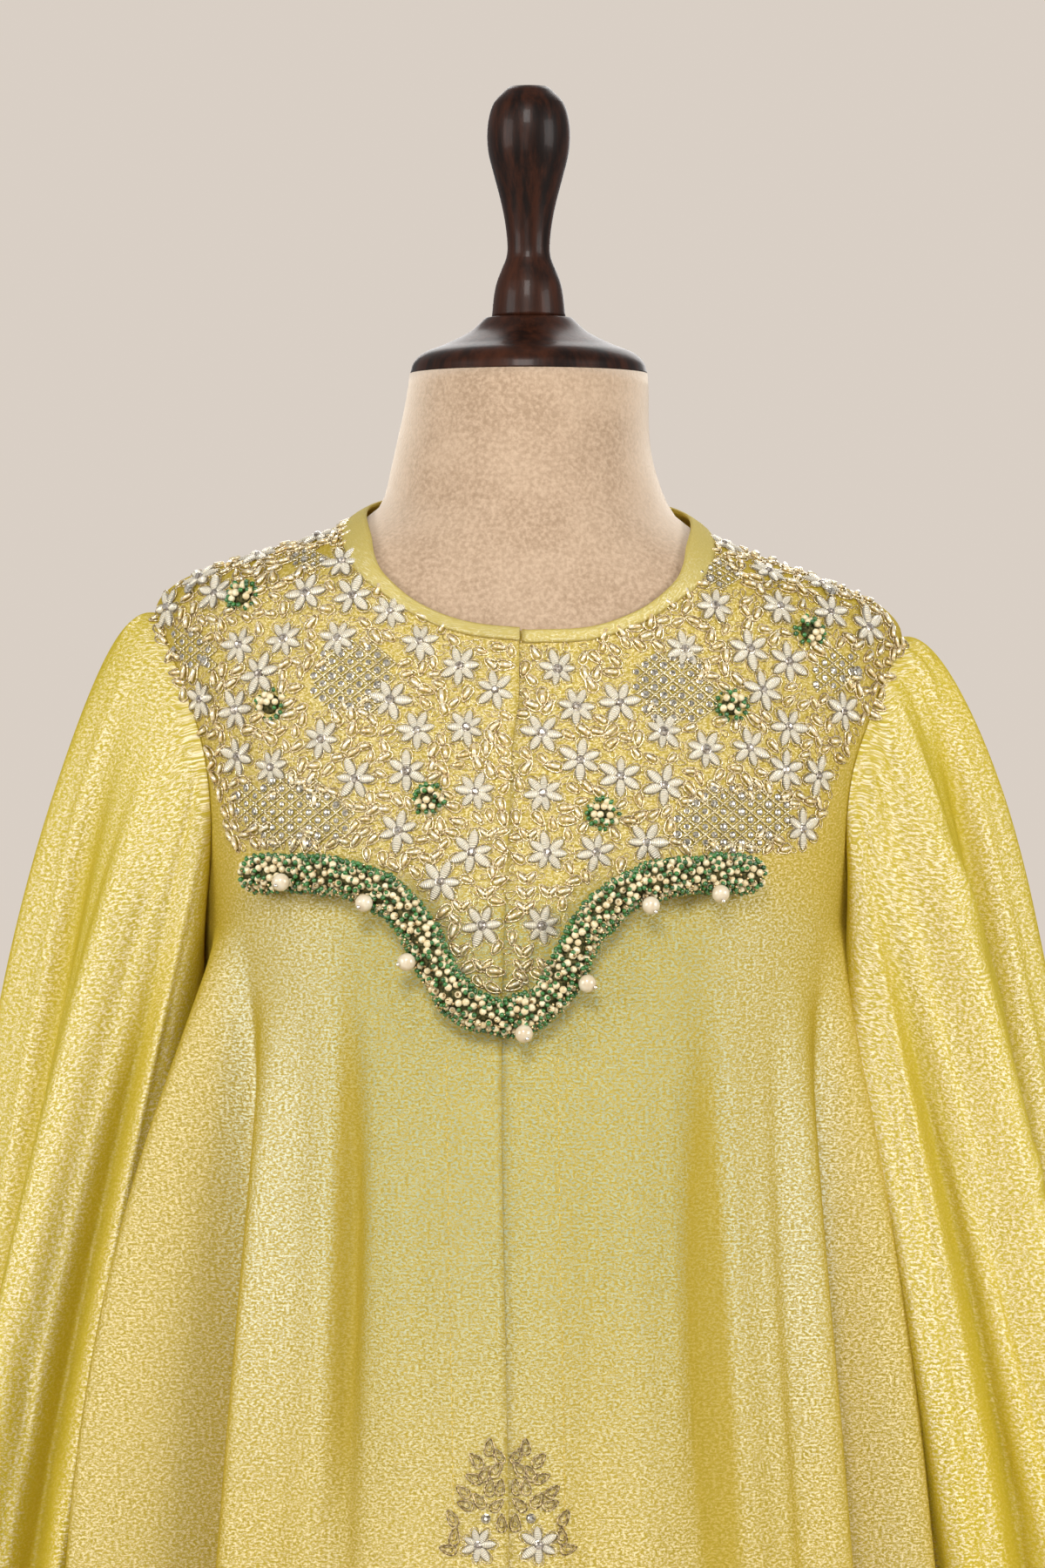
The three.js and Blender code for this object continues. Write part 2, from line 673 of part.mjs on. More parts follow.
function tuft({ x, z }) {
  const rows = [
    { z: 0, radius: TUFT_RADIUS },
    { z: 0.4 * TUFT_HEIGHT, radius: 0.94 * TUFT_RADIUS },
    { z: 0.8 * TUFT_HEIGHT, radius: 0.6 * TUFT_RADIUS },
    { z: TUFT_HEIGHT, radius: 0.2 * TUFT_RADIUS },
  ];
  const normal = frontNormal(x, z);
  const turn = new THREE.Quaternion().setFromUnitVectors(new THREE.Vector3(0, 0, 1), normal);
  return turnedSolid(rows, 0, 9)
    .applyQuaternion(turn)
    .translate(...frontPoint(x, z).addScaledVector(normal, 2 * SEAT_GAP));
}

const finishes = {
  cloth: new THREE.MeshStandardMaterial({ color: 0xdccb52, roughness: 0.42, metalness: 0.25 }),
  form: new THREE.MeshStandardMaterial({ color: 0xc9b299, roughness: 0.95 }),
  wood: new THREE.MeshStandardMaterial({ color: 0x2a130c, roughness: 0.22 }),
  beads: new THREE.MeshStandardMaterial({ color: 0xcfc9a4, roughness: 0.3 }),
  pearl: new THREE.MeshStandardMaterial({ color: 0xf3ead9, roughness: 0.15 }),
};

const group = new THREE.Group();

function add(name, geometry, finish) {
  const mesh = new THREE.Mesh(geometry, finishes[finish]);
  mesh.name = name;
  group.add(mesh);
}

add("front_left", frontPanel(-1, FRONT_COLUMNS), "cloth");
add("front_right", frontPanel(1, FRONT_COLUMNS), "cloth");
add("back", backPanel(BACK_COLUMNS), "cloth");
add("sleeve_left", sleeve(-1), "cloth");
add("sleeve_right", sleeve(1), "cloth");
add("neck_binding", neckBinding(), "cloth");

add("bead_border", beadBorder(44, 8), "beads");
pearls.forEach((pearl, i) => {
  const sphere = new THREE.SphereGeometry(PEARL_RADIUS, 8, 6);
  add(`pearl_drop_${i + 1}`, sphere.translate(...pearlPlace(pearl)), "pearl");
});
tufts.forEach((place, i) => add(`bead_tuft_${i + 1}`, tuft(place), "beads"));

add("form_torso", form(), "form");
add("neck_cap", turnedSolid(capProfile, NECK_TOP + SEAT_GAP, 28), "wood");
add("finial", turnedSolid(finialProfile, NECK_TOP + CAP_HEIGHT + 2 * SEAT_GAP, 18), "wood");
const poleProfile = [
  { z: 0, radius: POLE_RADIUS },
  { z: FORM_BOTTOM - BASE_HEIGHT - 2 * SEAT_GAP, radius: POLE_RADIUS },
];
add("stand_pole", turnedSolid(poleProfile, BASE_HEIGHT + SEAT_GAP, 20), "wood");
add("stand_base", turnedSolid(baseProfile, 0, 40), "wood");

export default group;
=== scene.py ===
# %% [markdown]
# # A kaftan on a dress form
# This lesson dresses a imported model: a full-length kaftan of tissue cloth on a flocked form.
# Tissue is woven from a dyed yellow warp and a flat metal weft, so it is yellow and pale gold at once.
# Everything is in metres, +Z is up, and the front faces -Y. The tables are in millimetres, because
# that is how a pattern cutter measures, and they are turned into metres when a mesh is made.

# %% Load the frame
import math
import bmesh
import bpy
import numpy as np
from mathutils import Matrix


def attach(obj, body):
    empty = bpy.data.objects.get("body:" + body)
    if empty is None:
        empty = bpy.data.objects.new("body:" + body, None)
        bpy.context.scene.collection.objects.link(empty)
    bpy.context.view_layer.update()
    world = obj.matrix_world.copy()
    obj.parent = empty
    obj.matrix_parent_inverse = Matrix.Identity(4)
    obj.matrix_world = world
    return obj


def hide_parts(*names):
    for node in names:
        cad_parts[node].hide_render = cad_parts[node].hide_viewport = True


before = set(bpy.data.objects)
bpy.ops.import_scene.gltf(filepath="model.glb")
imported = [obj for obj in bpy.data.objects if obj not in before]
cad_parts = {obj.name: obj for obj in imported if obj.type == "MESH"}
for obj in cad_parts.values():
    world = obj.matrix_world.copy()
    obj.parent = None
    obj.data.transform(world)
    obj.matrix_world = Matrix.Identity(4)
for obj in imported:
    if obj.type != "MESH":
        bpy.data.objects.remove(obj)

MM = 0.001
DEGREE = math.pi / 180
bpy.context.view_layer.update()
print("nodes:", len(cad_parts))


def added(name, data):
    """A new object in the scene"""
    made = bpy.data.objects.new(name, data)
    bpy.context.scene.collection.objects.link(made)
    return made


# %% [markdown]
# The camera comes first, because every later decision is judged through it.
# A picture of clothes is usually taken from chest height with a long lens, level, so that vertical
# folds stay vertical. The lens is given for a sensor 36 mm on its long side.

# %% Camera
camera_data = bpy.data.cameras.new("camera")
camera_data.lens = 156.1
camera_data.sensor_width = 36
camera = added("camera", camera_data)
camera.location = (-0.0029, -3.2, 1.283)
camera.rotation_euler = (math.pi / 2, 0, 0)
bpy.context.scene.camera = camera
bpy.context.scene.view_settings.view_transform = "Standard"
print("camera:", tuple(round(v, 3) for v in camera.location), "lens", camera_data.lens)

# %% [markdown]
# A studio for cloth wants a key light that stands high, which puts the shadow of the bead border
# under it, and a weak fill from the front. Two broad lights at the sides brighten the sleeves, and one
# behind keeps the back from going black when the camera walks round. The camera sees none of them.

# %% Lights
def softbox(name, place, aim, size, power, tone):
    """A square area light that looks at a point. size is in metres and power in watts."""
    data = bpy.data.lights.new(name, "AREA")
    data.size = size
    data.energy = power
    data.color = tone
    lamp = added(name, data)
    lamp.location = place
    away = np.array(place) - np.array(aim)
    lamp.rotation_euler = (
        math.atan2(math.hypot(away[0], away[1]), away[2]),
        0,
        math.atan2(away[0], -away[1]),
    )
    lamp.visible_camera = False


WARM = (1.0, 0.98, 0.95)
PLAIN = (1.0, 0.98, 0.96)
softbox("key", (-0.3, -2.9, 3.0), (0, 0, 1.2), 1.0, 62, WARM)
softbox("front_fill", (-0.7, -3.5, 1.3), (0, 0, 1.2), 1.2, 10, WARM)
softbox("left_side", (-2.6, -1.5, 1.9), (0, 0, 1.15), 1.5, 42, PLAIN)
softbox("right_side", (2.6, -1.6, 1.9), (0, 0, 1.15), 1.5, 51, PLAIN)
softbox("back_light", (0.3, 2.8, 2.6), (0, 0, 1.1), 2.2, 44, PLAIN)
print("lights:", len(bpy.data.lights))

# %% [markdown]
# The world is the wall behind: one pale warm grey for the camera, and a dimmer light for everything
# else. A dim surrounding gives metal petals something dark to reflect.

# %% World
world = bpy.data.worlds.new("studio")
world.use_nodes = True
world_nodes = world.node_tree.nodes
world_links = world.node_tree.links
world_nodes.clear()
wall_light = world_nodes.new("ShaderNodeBackground")
wall_light.inputs["Color"].default_value = (0.74, 0.665, 0.595, 1)
wall_light.inputs["Strength"].default_value = 0.94
room_light = world_nodes.new("ShaderNodeBackground")
room_light.inputs["Color"].default_value = (0.93, 0.92, 0.92, 1)
room_light.inputs["Strength"].default_value = 0.38
seen_directly = world_nodes.new("ShaderNodeLightPath")
world_mix = world_nodes.new("ShaderNodeMixShader")
world_out = world_nodes.new("ShaderNodeOutputWorld")
world_links.new(seen_directly.outputs["Is Camera Ray"], world_mix.inputs[0])
world_links.new(room_light.outputs[0], world_mix.inputs[1])
world_links.new(wall_light.outputs[0], world_mix.inputs[2])
world_links.new(world_mix.outputs[0], world_out.inputs["Surface"])
bpy.context.scene.world = world
print("wall strength", round(wall_light.inputs["Strength"].default_value, 2))

# %% [markdown]
# Every finish below is made of nodes. Wrapping a socket in a small class lets a formula be written as
# arithmetic, such as 1 - mask, while Blender gets its Math nodes. Colours go through Mix nodes instead,
# because a Math node would turn them grey.

# %% A way to write finishes
class Value:
    """The output of a node, with arithmetic that adds Math nodes"""

    def __init__(self, finish, socket):
        self.finish = finish
        self.socket = socket

    def maths(self, operation, *values):
        """A Math node whose inputs are the values, in their order"""
        sockets = dict(enumerate(values))
        return self.finish.add("ShaderNodeMath", {"operation": operation}, sockets)

    def __add__(self, other):
        return self.maths("ADD", self, other)

    def __radd__(self, other):
        return self.maths("ADD", other, self)

    def __sub__(self, other):
        return self.maths("SUBTRACT", self, other)

    def __rsub__(self, other):
        return self.maths("SUBTRACT", other, self)

    def __mul__(self, other):
        return self.maths("MULTIPLY", self, other)

    def __rmul__(self, other):
        return self.maths("MULTIPLY", other, self)

    def between(self, low, high):
        """0 below low and 1 above high, with a soft step"""
        settings = {"interpolation_type": "SMOOTHSTEP"}
        sockets = {"Value": self, "From Min": low, "From Max": high}
        return self.finish.add("ShaderNodeMapRange", settings, sockets)


class Finish:
    """A material, built node by node"""

    def __init__(self, name):
        self.material = bpy.data.materials.new(name)
        self.material.use_nodes = True
        self.tree = self.material.node_tree
        self.tree.nodes.clear()

    def add(self, kind, settings=None, sockets=None, output=0):
        """A node with its settings and inputs. The result is one of its outputs."""
        node = self.tree.nodes.new(kind)
        for key, value in (settings or {}).items():
            setattr(node, key, value)
        for key, value in (sockets or {}).items():
            if isinstance(value, Value):
                self.tree.links.new(value.socket, node.inputs[key])
            else:
                node.inputs[key].default_value = value
        return Value(self, node.outputs[output])

    def place(self, scale, source="Object"):
        """Coordinates in metres times scale, from the object or from its UV map"""
        coordinates = self.add("ShaderNodeTexCoord", output=source)
        return self.add("ShaderNodeMapping", None, {"Vector": coordinates, "Scale": scale})

    def noise(self, place, detail=2.0, roughness=0.5, scale=1.0):
        sockets = {"Vector": place, "Scale": scale, "Detail": detail, "Roughness": roughness}
        return self.add("ShaderNodeTexNoise", None, sockets)

    def mixed(self, share, first, second):
        """A colour between two colours"""
        first = (*first, 1) if isinstance(first, tuple) else first
        second = (*second, 1) if isinstance(second, tuple) else second
        colours = {0: share, 6: first, 7: second}
        return self.add("ShaderNodeMix", {"data_type": "RGBA"}, colours, output=2)

    def bump(self, height, distance, strength):
        sockets = {"Height": height, "Distance": distance, "Strength": strength}
        return self.add("ShaderNodeBump", None, sockets)

    def shader(self, colour, roughness, **sockets):
        colour = (*colour, 1) if isinstance(colour, tuple) else colour
        named = {key.replace("_", " "): value for key, value in sockets.items()}
        values = {"Base Color": colour, "Roughness": roughness, **named}
        return self.add("ShaderNodeBsdfPrincipled", None, values)

    def both(self, share, first, second):
        """A mix of two shaders, with a share of the second"""
        return self.add("ShaderNodeMixShader", None, {0: share, 1: first, 2: second})

    def done(self, surface):
        output = self.tree.nodes.new("ShaderNodeOutputMaterial")
        self.tree.links.new(surface.socket, output.inputs["Surface"])
        return self.material


def dimmed(colour, share):
    """A colour with only a share of its light"""
    return tuple(share * v for v in colour)


# %% [markdown]
# The cloth. The metal weft runs across the garment and mirrors light only where it faces the light and
# the eye, so it is an anisotropic metal whose highlight is narrow across and long up and down. The warp
# is dyed yellow, lets light through and shows wherever the weft has turned away. A fine noise, stretched
# along the weft, is the slub of the threads: it decides thread by thread how much metal shows, and it
# paints the metal paler at its glints and the warp darker between them, a painted sparkle and painted
# shade between the threads. Where the form is close behind, the weft is painted cooler and greyer, and
# paler towards the form's sides: partly the form behind the sheer cloth, partly a painted reflection.
# The mesh says in its attribute hollow where a fold or crease goes in, and there less metal shows and
# the warp is painted darker, a painted shade in the creases. Low down less metal shows, a painted shade.

# %% Tissue cloth
def tissue(name, warp, weft, lined_and_reflected_weft, metal_share, grain=1.0, rough=0.32, thread_shade=0.55, painted_low_shade=0.06):
    """Tissue woven from a dyed warp and a metal weft.

    lined_and_reflected_weft is the metal's tone over the form, partly the form behind the sheer cloth and
    partly a painted reflection; grain is the size of the slub, and rough the weft's roughness. dip is how
    dark the warp is painted between threads, a painted shade, and fade how much less metal shows low down,
    a painted shade towards the hem.
    """
    cloth = Finish(name)
    threads = cloth.place((600 / grain, 980 / grain, 1), "UV")
    slub = cloth.noise(threads, detail=4, roughness=0.78)
    fine = cloth.noise(cloth.place((1500, 2600, 1), "UV"), detail=1.0)
    broad = cloth.noise(cloth.place((9, 9, 2.2)), detail=3)
    relief = cloth.bump(slub * 0.7 + fine * 0.3, 0.0012, 0.75)
    hollow = cloth.add("ShaderNodeAttribute", {"attribute_name": "hollow"}, output=2)

    glint = slub.between(0.43, 0.60)
    facing = cloth.add("ShaderNodeLayerWeight", None, {"Blend": 0.5, "Normal": relief}, output=1)
    shown = 1 - facing.between(0.16, 0.62)
    crease_shade = hollow.between(0.05, 0.7)

    upright = cloth.add("ShaderNodeSeparateXYZ", None, {0: cloth.place((1, 1, 1))}, output=2)
    sideways = cloth.add("ShaderNodeSeparateXYZ", None, {0: cloth.place((1, 1, 1))})
    sideways = sideways.maths("ABSOLUTE", sideways)
    # Partly the form behind the sheer cloth, partly painted reflection: over the form the weft is cooler and
    # greyer, and paler towards the form's sides
    # In metres: between the hips and the underarm, and not beyond the form's sides
    painted_reflection_over_form = upright.between(0.92, 1.10) * (1 - upright.between(1.212, 1.25))
    painted_reflection_over_form = painted_reflection_over_form * (1 - sideways.between(0.130, 0.150))
    lined_and_reflected_tone = cloth.mixed(sideways.between(0.07, 0.11), lined_and_reflected_weft, (0.85, 0.86, 0.65))
    weft_tone = cloth.mixed(painted_reflection_over_form, weft, lined_and_reflected_tone)
    # Painted sparkle: the metal's colour is paler at the glints and darker between them
    weft_tone = cloth.mixed(glint, cloth.mixed(0.35, dimmed(weft, 0.5), warp), weft_tone)
    # Painted shade towards the hem: lower down less pale metal shows, so the cloth looks darker and more
    # golden
    low_down = 1 - upright.between(0.86, 1.08)
    metal = metal_share + 1.05 * (glint - 0.45) + 0.3 * (broad - 0.5) + 0.1 * painted_reflection_over_form
    metal = metal - painted_low_shade * low_down
    # Painted shade in the creases: less metal shows where hollow is high
    metal = shown * metal * (1 - 0.8 * crease_shade)

    warp_tone = cloth.mixed(broad.between(0.35, 0.65), warp, dimmed(warp, 0.88))
    # Painted shade between the threads: the warp is darker where there is no glint
    warp_tone = cloth.mixed((1 - glint) * thread_shade, warp_tone, dimmed(warp, 0.42))
    # Painted shade: the warp is darker in the creases
    warp_tone = cloth.mixed(crease_shade * 0.3, warp_tone, dimmed(warp, 0.62))
    weft_shader = cloth.shader(
        weft_tone,
        rough + 0.2 * fine,
        Metallic=1.0,
        Anisotropic=0.7,
        Anisotropic_Rotation=0.25,
        Normal=relief,
    )
    warp_shader = cloth.shader(
        warp_tone,
        0.62,
        Specular_IOR_Level=0.25,
        Sheen_Weight=0.25,
        Sheen_Roughness=0.4,
        Sheen_Tint=(1.0, 0.82, 0.15, 1),
        Normal=relief,
    )
    lit_through = (*dimmed(warp, 0.82), 1)
    through = cloth.add("ShaderNodeBsdfTranslucent", None, {"Color": lit_through, "Normal": relief})
    dyed = cloth.both(0.42, warp_shader, through)
    return cloth.done(cloth.both(metal, dyed, weft_shader))


# The body's fourth colour, the weft over the form, is partly a painted reflection
body_tissue = tissue("body_tissue", (0.93, 0.69, 0.05), (0.89, 0.77, 0.43), (0.50, 0.55, 0.35), 0.66)
# The sleeves' tissue is a brighter copy of the body's: partly the sleeves are sheer and unlined, partly it
# is painted light
sleeve_weft = (1.0, 0.90, 0.62)
sleeve_warp = (1.0, 0.80, 0.05)
sleeve_tissue = tissue(
    "sleeve_tissue", sleeve_warp, sleeve_weft, sleeve_weft, 0.58, grain=1.25, rough=0.38, thread_shade=0.3, painted_low_shade=0.28
)
binding_weft = (0.94, 0.86, 0.55)
binding_warp = (0.96, 0.80, 0.24)
binding_tissue = tissue("binding_tissue", binding_warp, binding_weft, binding_weft, 0.32, thread_shade=0.2)
print("tissues:", [made.name for made in (body_tissue, sleeve_tissue, binding_tissue)])

# %% [markdown]
# The form is covered in flock, short fibres glued down like suede. It is dull from every side, so it
# has a strong sheen at its edges and a mottled, slightly leathery bump, and no gloss at all. Towards
# its edges as seen, its colour is also painted paler: a painted sheen.

# %% Flocked form
def flock():
    coat = Finish("flock")
    place = coat.place((1, 1, 1))
    pebbles = coat.noise(place, detail=4, roughness=0.62, scale=520)
    patches = coat.noise(place, detail=3, roughness=0.5, scale=34)
    relief = coat.bump(pebbles, 0.0008, 0.75)
    tone = coat.mixed(pebbles.between(0.3, 0.72), (0.34, 0.235, 0.15), (0.52, 0.38, 0.265))
    tone = coat.mixed(patches.between(0.35, 0.7) * 0.3, tone, (0.60, 0.45, 0.32))
    # Painted sheen: the colour turns paler where the surface turns away from the eye
    aside = coat.add("ShaderNodeLayerWeight", None, {"Blend": 0.5}, output=1)
    tone = coat.mixed(aside.between(0.25, 0.9) * 0.8, tone, (0.80, 0.66, 0.52))
    surface = coat.shader(
        tone,
        0.94,
        Sheen_Weight=0.9,
        Sheen_Roughness=0.4,
        Sheen_Tint=(1.0, 0.92, 0.83, 1),
        Specular_IOR_Level=0.15,
        Normal=relief,
    )
    return coat.done(surface)


flock_finish = flock()
print("flock:", len(flock_finish.node_tree.nodes), "nodes")

# %% [markdown]
# The cap, the finial and the stand are turned from a dark hardwood, stained and lacquered. The grain
# runs up the pole, so the noise is stretched along Z, and the lacquer is a coat over it.

# %% Turned wood
def lacquered_wood():
    wood = Finish("lacquered_wood")
    grain = wood.noise(wood.place((190, 190, 16)), detail=5, roughness=0.65)
    pores = wood.noise(wood.place((900, 900, 60)), detail=2)
    worn = wood.noise(wood.place((24, 24, 24)), detail=2)
    tone = wood.mixed(grain.between(0.35, 0.7), (0.006, 0.0022, 0.0012), (0.036, 0.010, 0.004))
    tone = wood.mixed(worn.between(0.5, 0.75) * 0.35, tone, (0.07, 0.02, 0.008))
    relief = wood.bump(grain * 0.6 + pores * 0.4, 0.0004, 0.25)
    surface = wood.shader(
        tone,
        0.34 + 0.12 * pores,
        Coat_Weight=0.08,
        Coat_Roughness=0.1,
        Specular_IOR_Level=0.15,
        Normal=relief,
    )
    return wood.done(surface)


wood_finish = lacquered_wood()
print("wood:", len(wood_finish.node_tree.nodes), "nodes")

# %% [markdown]
# The worked yoke is made of few kinds of things: stamped metal petals, coiled wire, cut glass beads
# with a metal lining, stones in cups, seed pearls and green glass. Each gets one small finish.

# %% Beads, metal and stones
def stamped_metal(name, light, dark, rough, ribs=0.0, metallic=0.9):
    """Thin metal. ribs is how deep its stamped ribs are, in metres.

    They follow the mesh's attributes: rib, in millimetres along the blade, and side, 1 at its edges.
    With ribs, the grooves between them and the blade's edges are painted darker: painted shade.
    """
    metal = Finish(name)
    mottle = metal.noise(metal.place((900, 900, 900)), detail=2)
    tone = metal.mixed(mottle.between(0.38, 0.62), dark, light)
    height = mottle * 0.3
    if ribs:
        along = metal.add("ShaderNodeAttribute", {"attribute_name": "rib"}, output=2)
        side = metal.add("ShaderNodeAttribute", {"attribute_name": "side"}, output=2)
        turn = along * 6.6
        wave = 0.5 + 0.5 * turn.maths("SINE", turn)
        # Painted shade in the grooves between the ribs
        tone = metal.mixed(wave * 0.45, tone, dimmed(dark, 0.5))
        # Painted shade at the blade's edges, where the dome turns away
        tone = metal.mixed(side.between(0.64, 0.96) * 0.75, tone, dimmed(dark, 0.2))
        height = 1 - wave
    relief = metal.bump(height, ribs or 0.0003, 0.9)
    return metal.done(metal.shader(tone, rough, Metallic=metallic, Normal=relief))


def glassy(name, light, dark, rough, metallic=0.0, scale=260):
    """Glass or pearl, uneven from bead to bead because the noise is wider than one bead"""
    glass = Finish(name)
    lots = glass.noise(glass.place((scale, scale, scale)), detail=2, roughness=0.7)
    tone = glass.mixed(lots.between(0.36, 0.64), dark, light)
    surface = glass.shader(tone, rough, Metallic=metallic, Coat_Weight=0.8, Coat_Roughness=0.06)
    return glass.done(surface)


petal_finish = stamped_metal("petal_metal", (1.0, 0.95, 0.80), (0.97, 0.87, 0.66), 0.26, 0.0005, 0.36)
wire_finish = stamped_metal("coiled_wire", (0.92, 0.80, 0.54), (0.36, 0.25, 0.12), 0.26, metallic=0.75)
aged_finish = stamped_metal("aged_wire", (0.64, 0.50, 0.28), (0.14, 0.09, 0.04), 0.3)
bugle_finish = glassy("lined_glass", (1.0, 0.92, 0.68), (0.80, 0.60, 0.28), 0.16, 0.55, 330)
stone_finish = glassy("foiled_stone", (0.78, 0.74, 0.64), (0.20, 0.17, 0.12), 0.1, 0.7, 900)
heart_finish = glassy("flower_stone", (0.66, 0.61, 0.54), (0.17, 0.13, 0.10), 0.12, 0.6, 700)
pearl_finish = glassy("seed_pearl", (0.84, 0.75, 0.50), (0.68, 0.53, 0.28), 0.3, 0.0, 420)
# The hanging pearls are darker than the seed pearls: partly their own colour, partly painted shade
pearl_colour_and_shade_finish = glassy("large_pearl", (0.70, 0.62, 0.46), (0.62, 0.50, 0.33), 0.22, 0.0, 120)
green_finish = glassy("green_glass", (0.03, 0.20, 0.03), (0.006, 0.06, 0.01), 0.1, 0.0, 500)
lattice_finish = glassy("cut_glass", (0.82, 0.73, 0.48), (0.40, 0.32, 0.16), 0.16, 0.75, 700)
core_finish = stamped_metal("padding", (0.15, 0.13, 0.05), (0.035, 0.04, 0.015), 0.7)
silver_finish = stamped_metal("silver", (0.92, 0.90, 0.86), (0.66, 0.62, 0.56), 0.14)
tip_finish = stamped_metal("bead_tips", (0.80, 0.62, 0.34), (0.26, 0.16, 0.06), 0.22)
thread_finish = stamped_metal("sewing_thread", (0.86, 0.68, 0.16), (0.62, 0.45, 0.08), 0.6)
print("finishes:", len(bpy.data.materials))

# %% [markdown]
# The garment is drawn like a pattern. Each table says something at a few heights, and one smooth curve
# through its rows gives the value at any height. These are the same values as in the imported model, so
# the finer cloth made here lies where its plain solid lies.

# %% Tables of the form and the cloth
def smooth(t):
    """A soft step from 0 to 1"""
    u = np.clip(t, 0, 1)
    return u * u * (3 - 2 * u)


def bump(t):
    """A soft hill: 1 in the middle and 0 beyond -1 and 1"""
    return np.where(np.abs(t) < 1, np.cos(np.clip(t, -1, 1) * math.pi / 2) ** 2, 0)


def turned(angle):
    """The same angle, between -180 and 180 degrees"""
    return (angle + 180) % 360 - 180


def full_turn(count):
    """Angles round a full turn, in radians"""
    return np.linspace(0, 2 * math.pi, count, endpoint=False)


def curve(keys, values, at):
    """A smooth curve through a table's rows, whose keys rise"""
    keys = np.asarray(keys, float)
    values = np.asarray(values, float)
    last = len(keys) - 1
    at = np.clip(at, keys[0], keys[last])
    low = np.maximum(np.arange(last + 1) - 1, 0)
    high = np.minimum(np.arange(last + 1) + 1, last)
    slope = (values[high] - values[low]) / (keys[high] - keys[low])
    i = np.clip(np.searchsorted(keys, at, side="right") - 1, 0, last - 1)
    step = keys[i + 1] - keys[i]
    t = (at - keys[i]) / step
    rise = values[i + 1] - values[i]
    a = slope[i] * step - rise
    b = rise - slope[i + 1] * step
    return values[i] + t * rise + t * (1 - t) * (a * (1 - t) + b * t)


# Each row: height, half width, depth to the front, depth to the back, power of the superellipse
FORM_SECTIONS = np.array([
    (770, 146, 92, 100, 2.3), (786, 152, 98, 107, 2.3), (860, 158, 103, 114, 2.2),
    (930, 155, 103, 112, 2.15), (1000, 137, 96, 94, 2.15), (1060, 121, 90, 77, 2.15),
    (1130, 132, 103, 84, 2.2), (1190, 145, 116, 93, 2.25), (1240, 151, 109, 98, 2.25),
    (1290, 160, 97, 98, 2.2), (1324, 169, 87, 95, 2.05), (1342, 172, 82, 92, 1.9),
    (1356, 172, 77, 88, 1.85), (1366, 167, 74, 84, 1.82), (1376, 152, 71, 80, 1.8),
    (1386, 125, 68, 76, 1.8), (1396, 96, 65.5, 72, 1.82), (1404, 79, 64, 69, 1.86),
    (1412, 69, 62, 66, 1.9), (1428, 63, 59.5, 62, 2.0), (1447, 59, 57.5, 59, 2.0),
    (1476, 56, 55.5, 56, 2.0),
])
HANGING_SECTIONS = np.array([
    (62, 305, 205, 240, 2.1), (360, 255, 178, 206, 2.15), (600, 208, 158, 176, 2.2),
    (760, 183, 147, 155, 2.25), (930, 166, 136, 136, 2.3), (1060, 155, 130, 119, 2.3),
    (1150, 150, 124.5, 106, 2.3), (1190, 150.5, 120, 100, 2.27), (1218, 153, 115.8, 98.8, 2.25),
])
# Each row: height, and how far the cloth stands off the form at the side, in front and behind
EASE = np.array([
    (1218, 4.2, 2.8, 2.8), (1290, 3, 2.4, 2.4), (1340, 3, 2.5, 2.5), (1356, 4, 2.6, 2.6),
    (1366, 5.5, 2.8, 2.8), (1376, 7, 2.8, 2.8), (1390, 7, 2.8, 2.8), (1404, 5.6, 2.7, 2.7),
    (1412, 4.6, 2.6, 2.6), (1428, 3, 2.5, 2.5),
])
# Each row: angle from the centre front, and the height of the neckline there
NECKLINE = np.array([
    (0, 1353), (10.6, 1355.5), (18.5, 1363.5), (27, 1376), (38, 1388.5), (50, 1397),
    (68, 1405), (90, 1411), (120, 1417), (150, 1420), (180, 1421),
])
UNDERARM = 1218
HIPS = 930
HEM = 62
SHOULDER_LEAN = 5.5
NECK_SWAY = -2.6
UNDERLAP = 22
OVERLAP_LIFT = 2.0


def section_at(table, z):
    return [curve(table[:, 0], table[:, k], z) for k in range(1, 5)]


def on_section(section, angle, z):
    """A point of a superellipse: 0 degrees is the centre front, 90 the right side"""
    half, front, back, power = section
    across = np.sin(angle * DEGREE)
    ahead = np.cos(angle * DEGREE)
    x = half * np.sign(across) * np.abs(across) ** (2 / power)
    depth = np.where(ahead > 0, front, back)
    y = -depth * np.sign(ahead) * np.abs(ahead) ** (2 / power)
    # One shoulder is a little lower. The lean starts at the underarm and ends on the neck.
    leaning = smooth((z - UNDERARM) / 110) * (1 - smooth((z - 1400) / 60))
    return np.stack([x, y, z - SHOULDER_LEAN * (x / 170) * leaning], -1)


def cloth_section(z):
    """The cloth without its folds: fitted to the form above the underarm, and hanging below it"""
    hanging = section_at(HANGING_SECTIONS, z)
    fitted = section_at(FORM_SECTIONS, z)
    for k in range(3):
        fitted[k] = fitted[k] + curve(EASE[:, 0], EASE[:, k + 1], z)
    share = smooth((z - UNDERARM + 16) / 32)
    return [h + (f - h) * share for h, f in zip(hanging, fitted)]


def neck_height(angle):
    return curve(NECKLINE[:, 0], NECKLINE[:, 1], np.abs(turned(angle)))


print("waist:", 2 * float(cloth_section(np.array(1060.0))[0]), "mm across")

# %% [markdown]
# Long folds fall from the bust and the shoulders to the hem. Each row of the table is one fold: where
# it is, how wide, where it begins, and how far it stands out at the hips and at the hem. A real
# skirt's folds are never alike, so no two rows are.

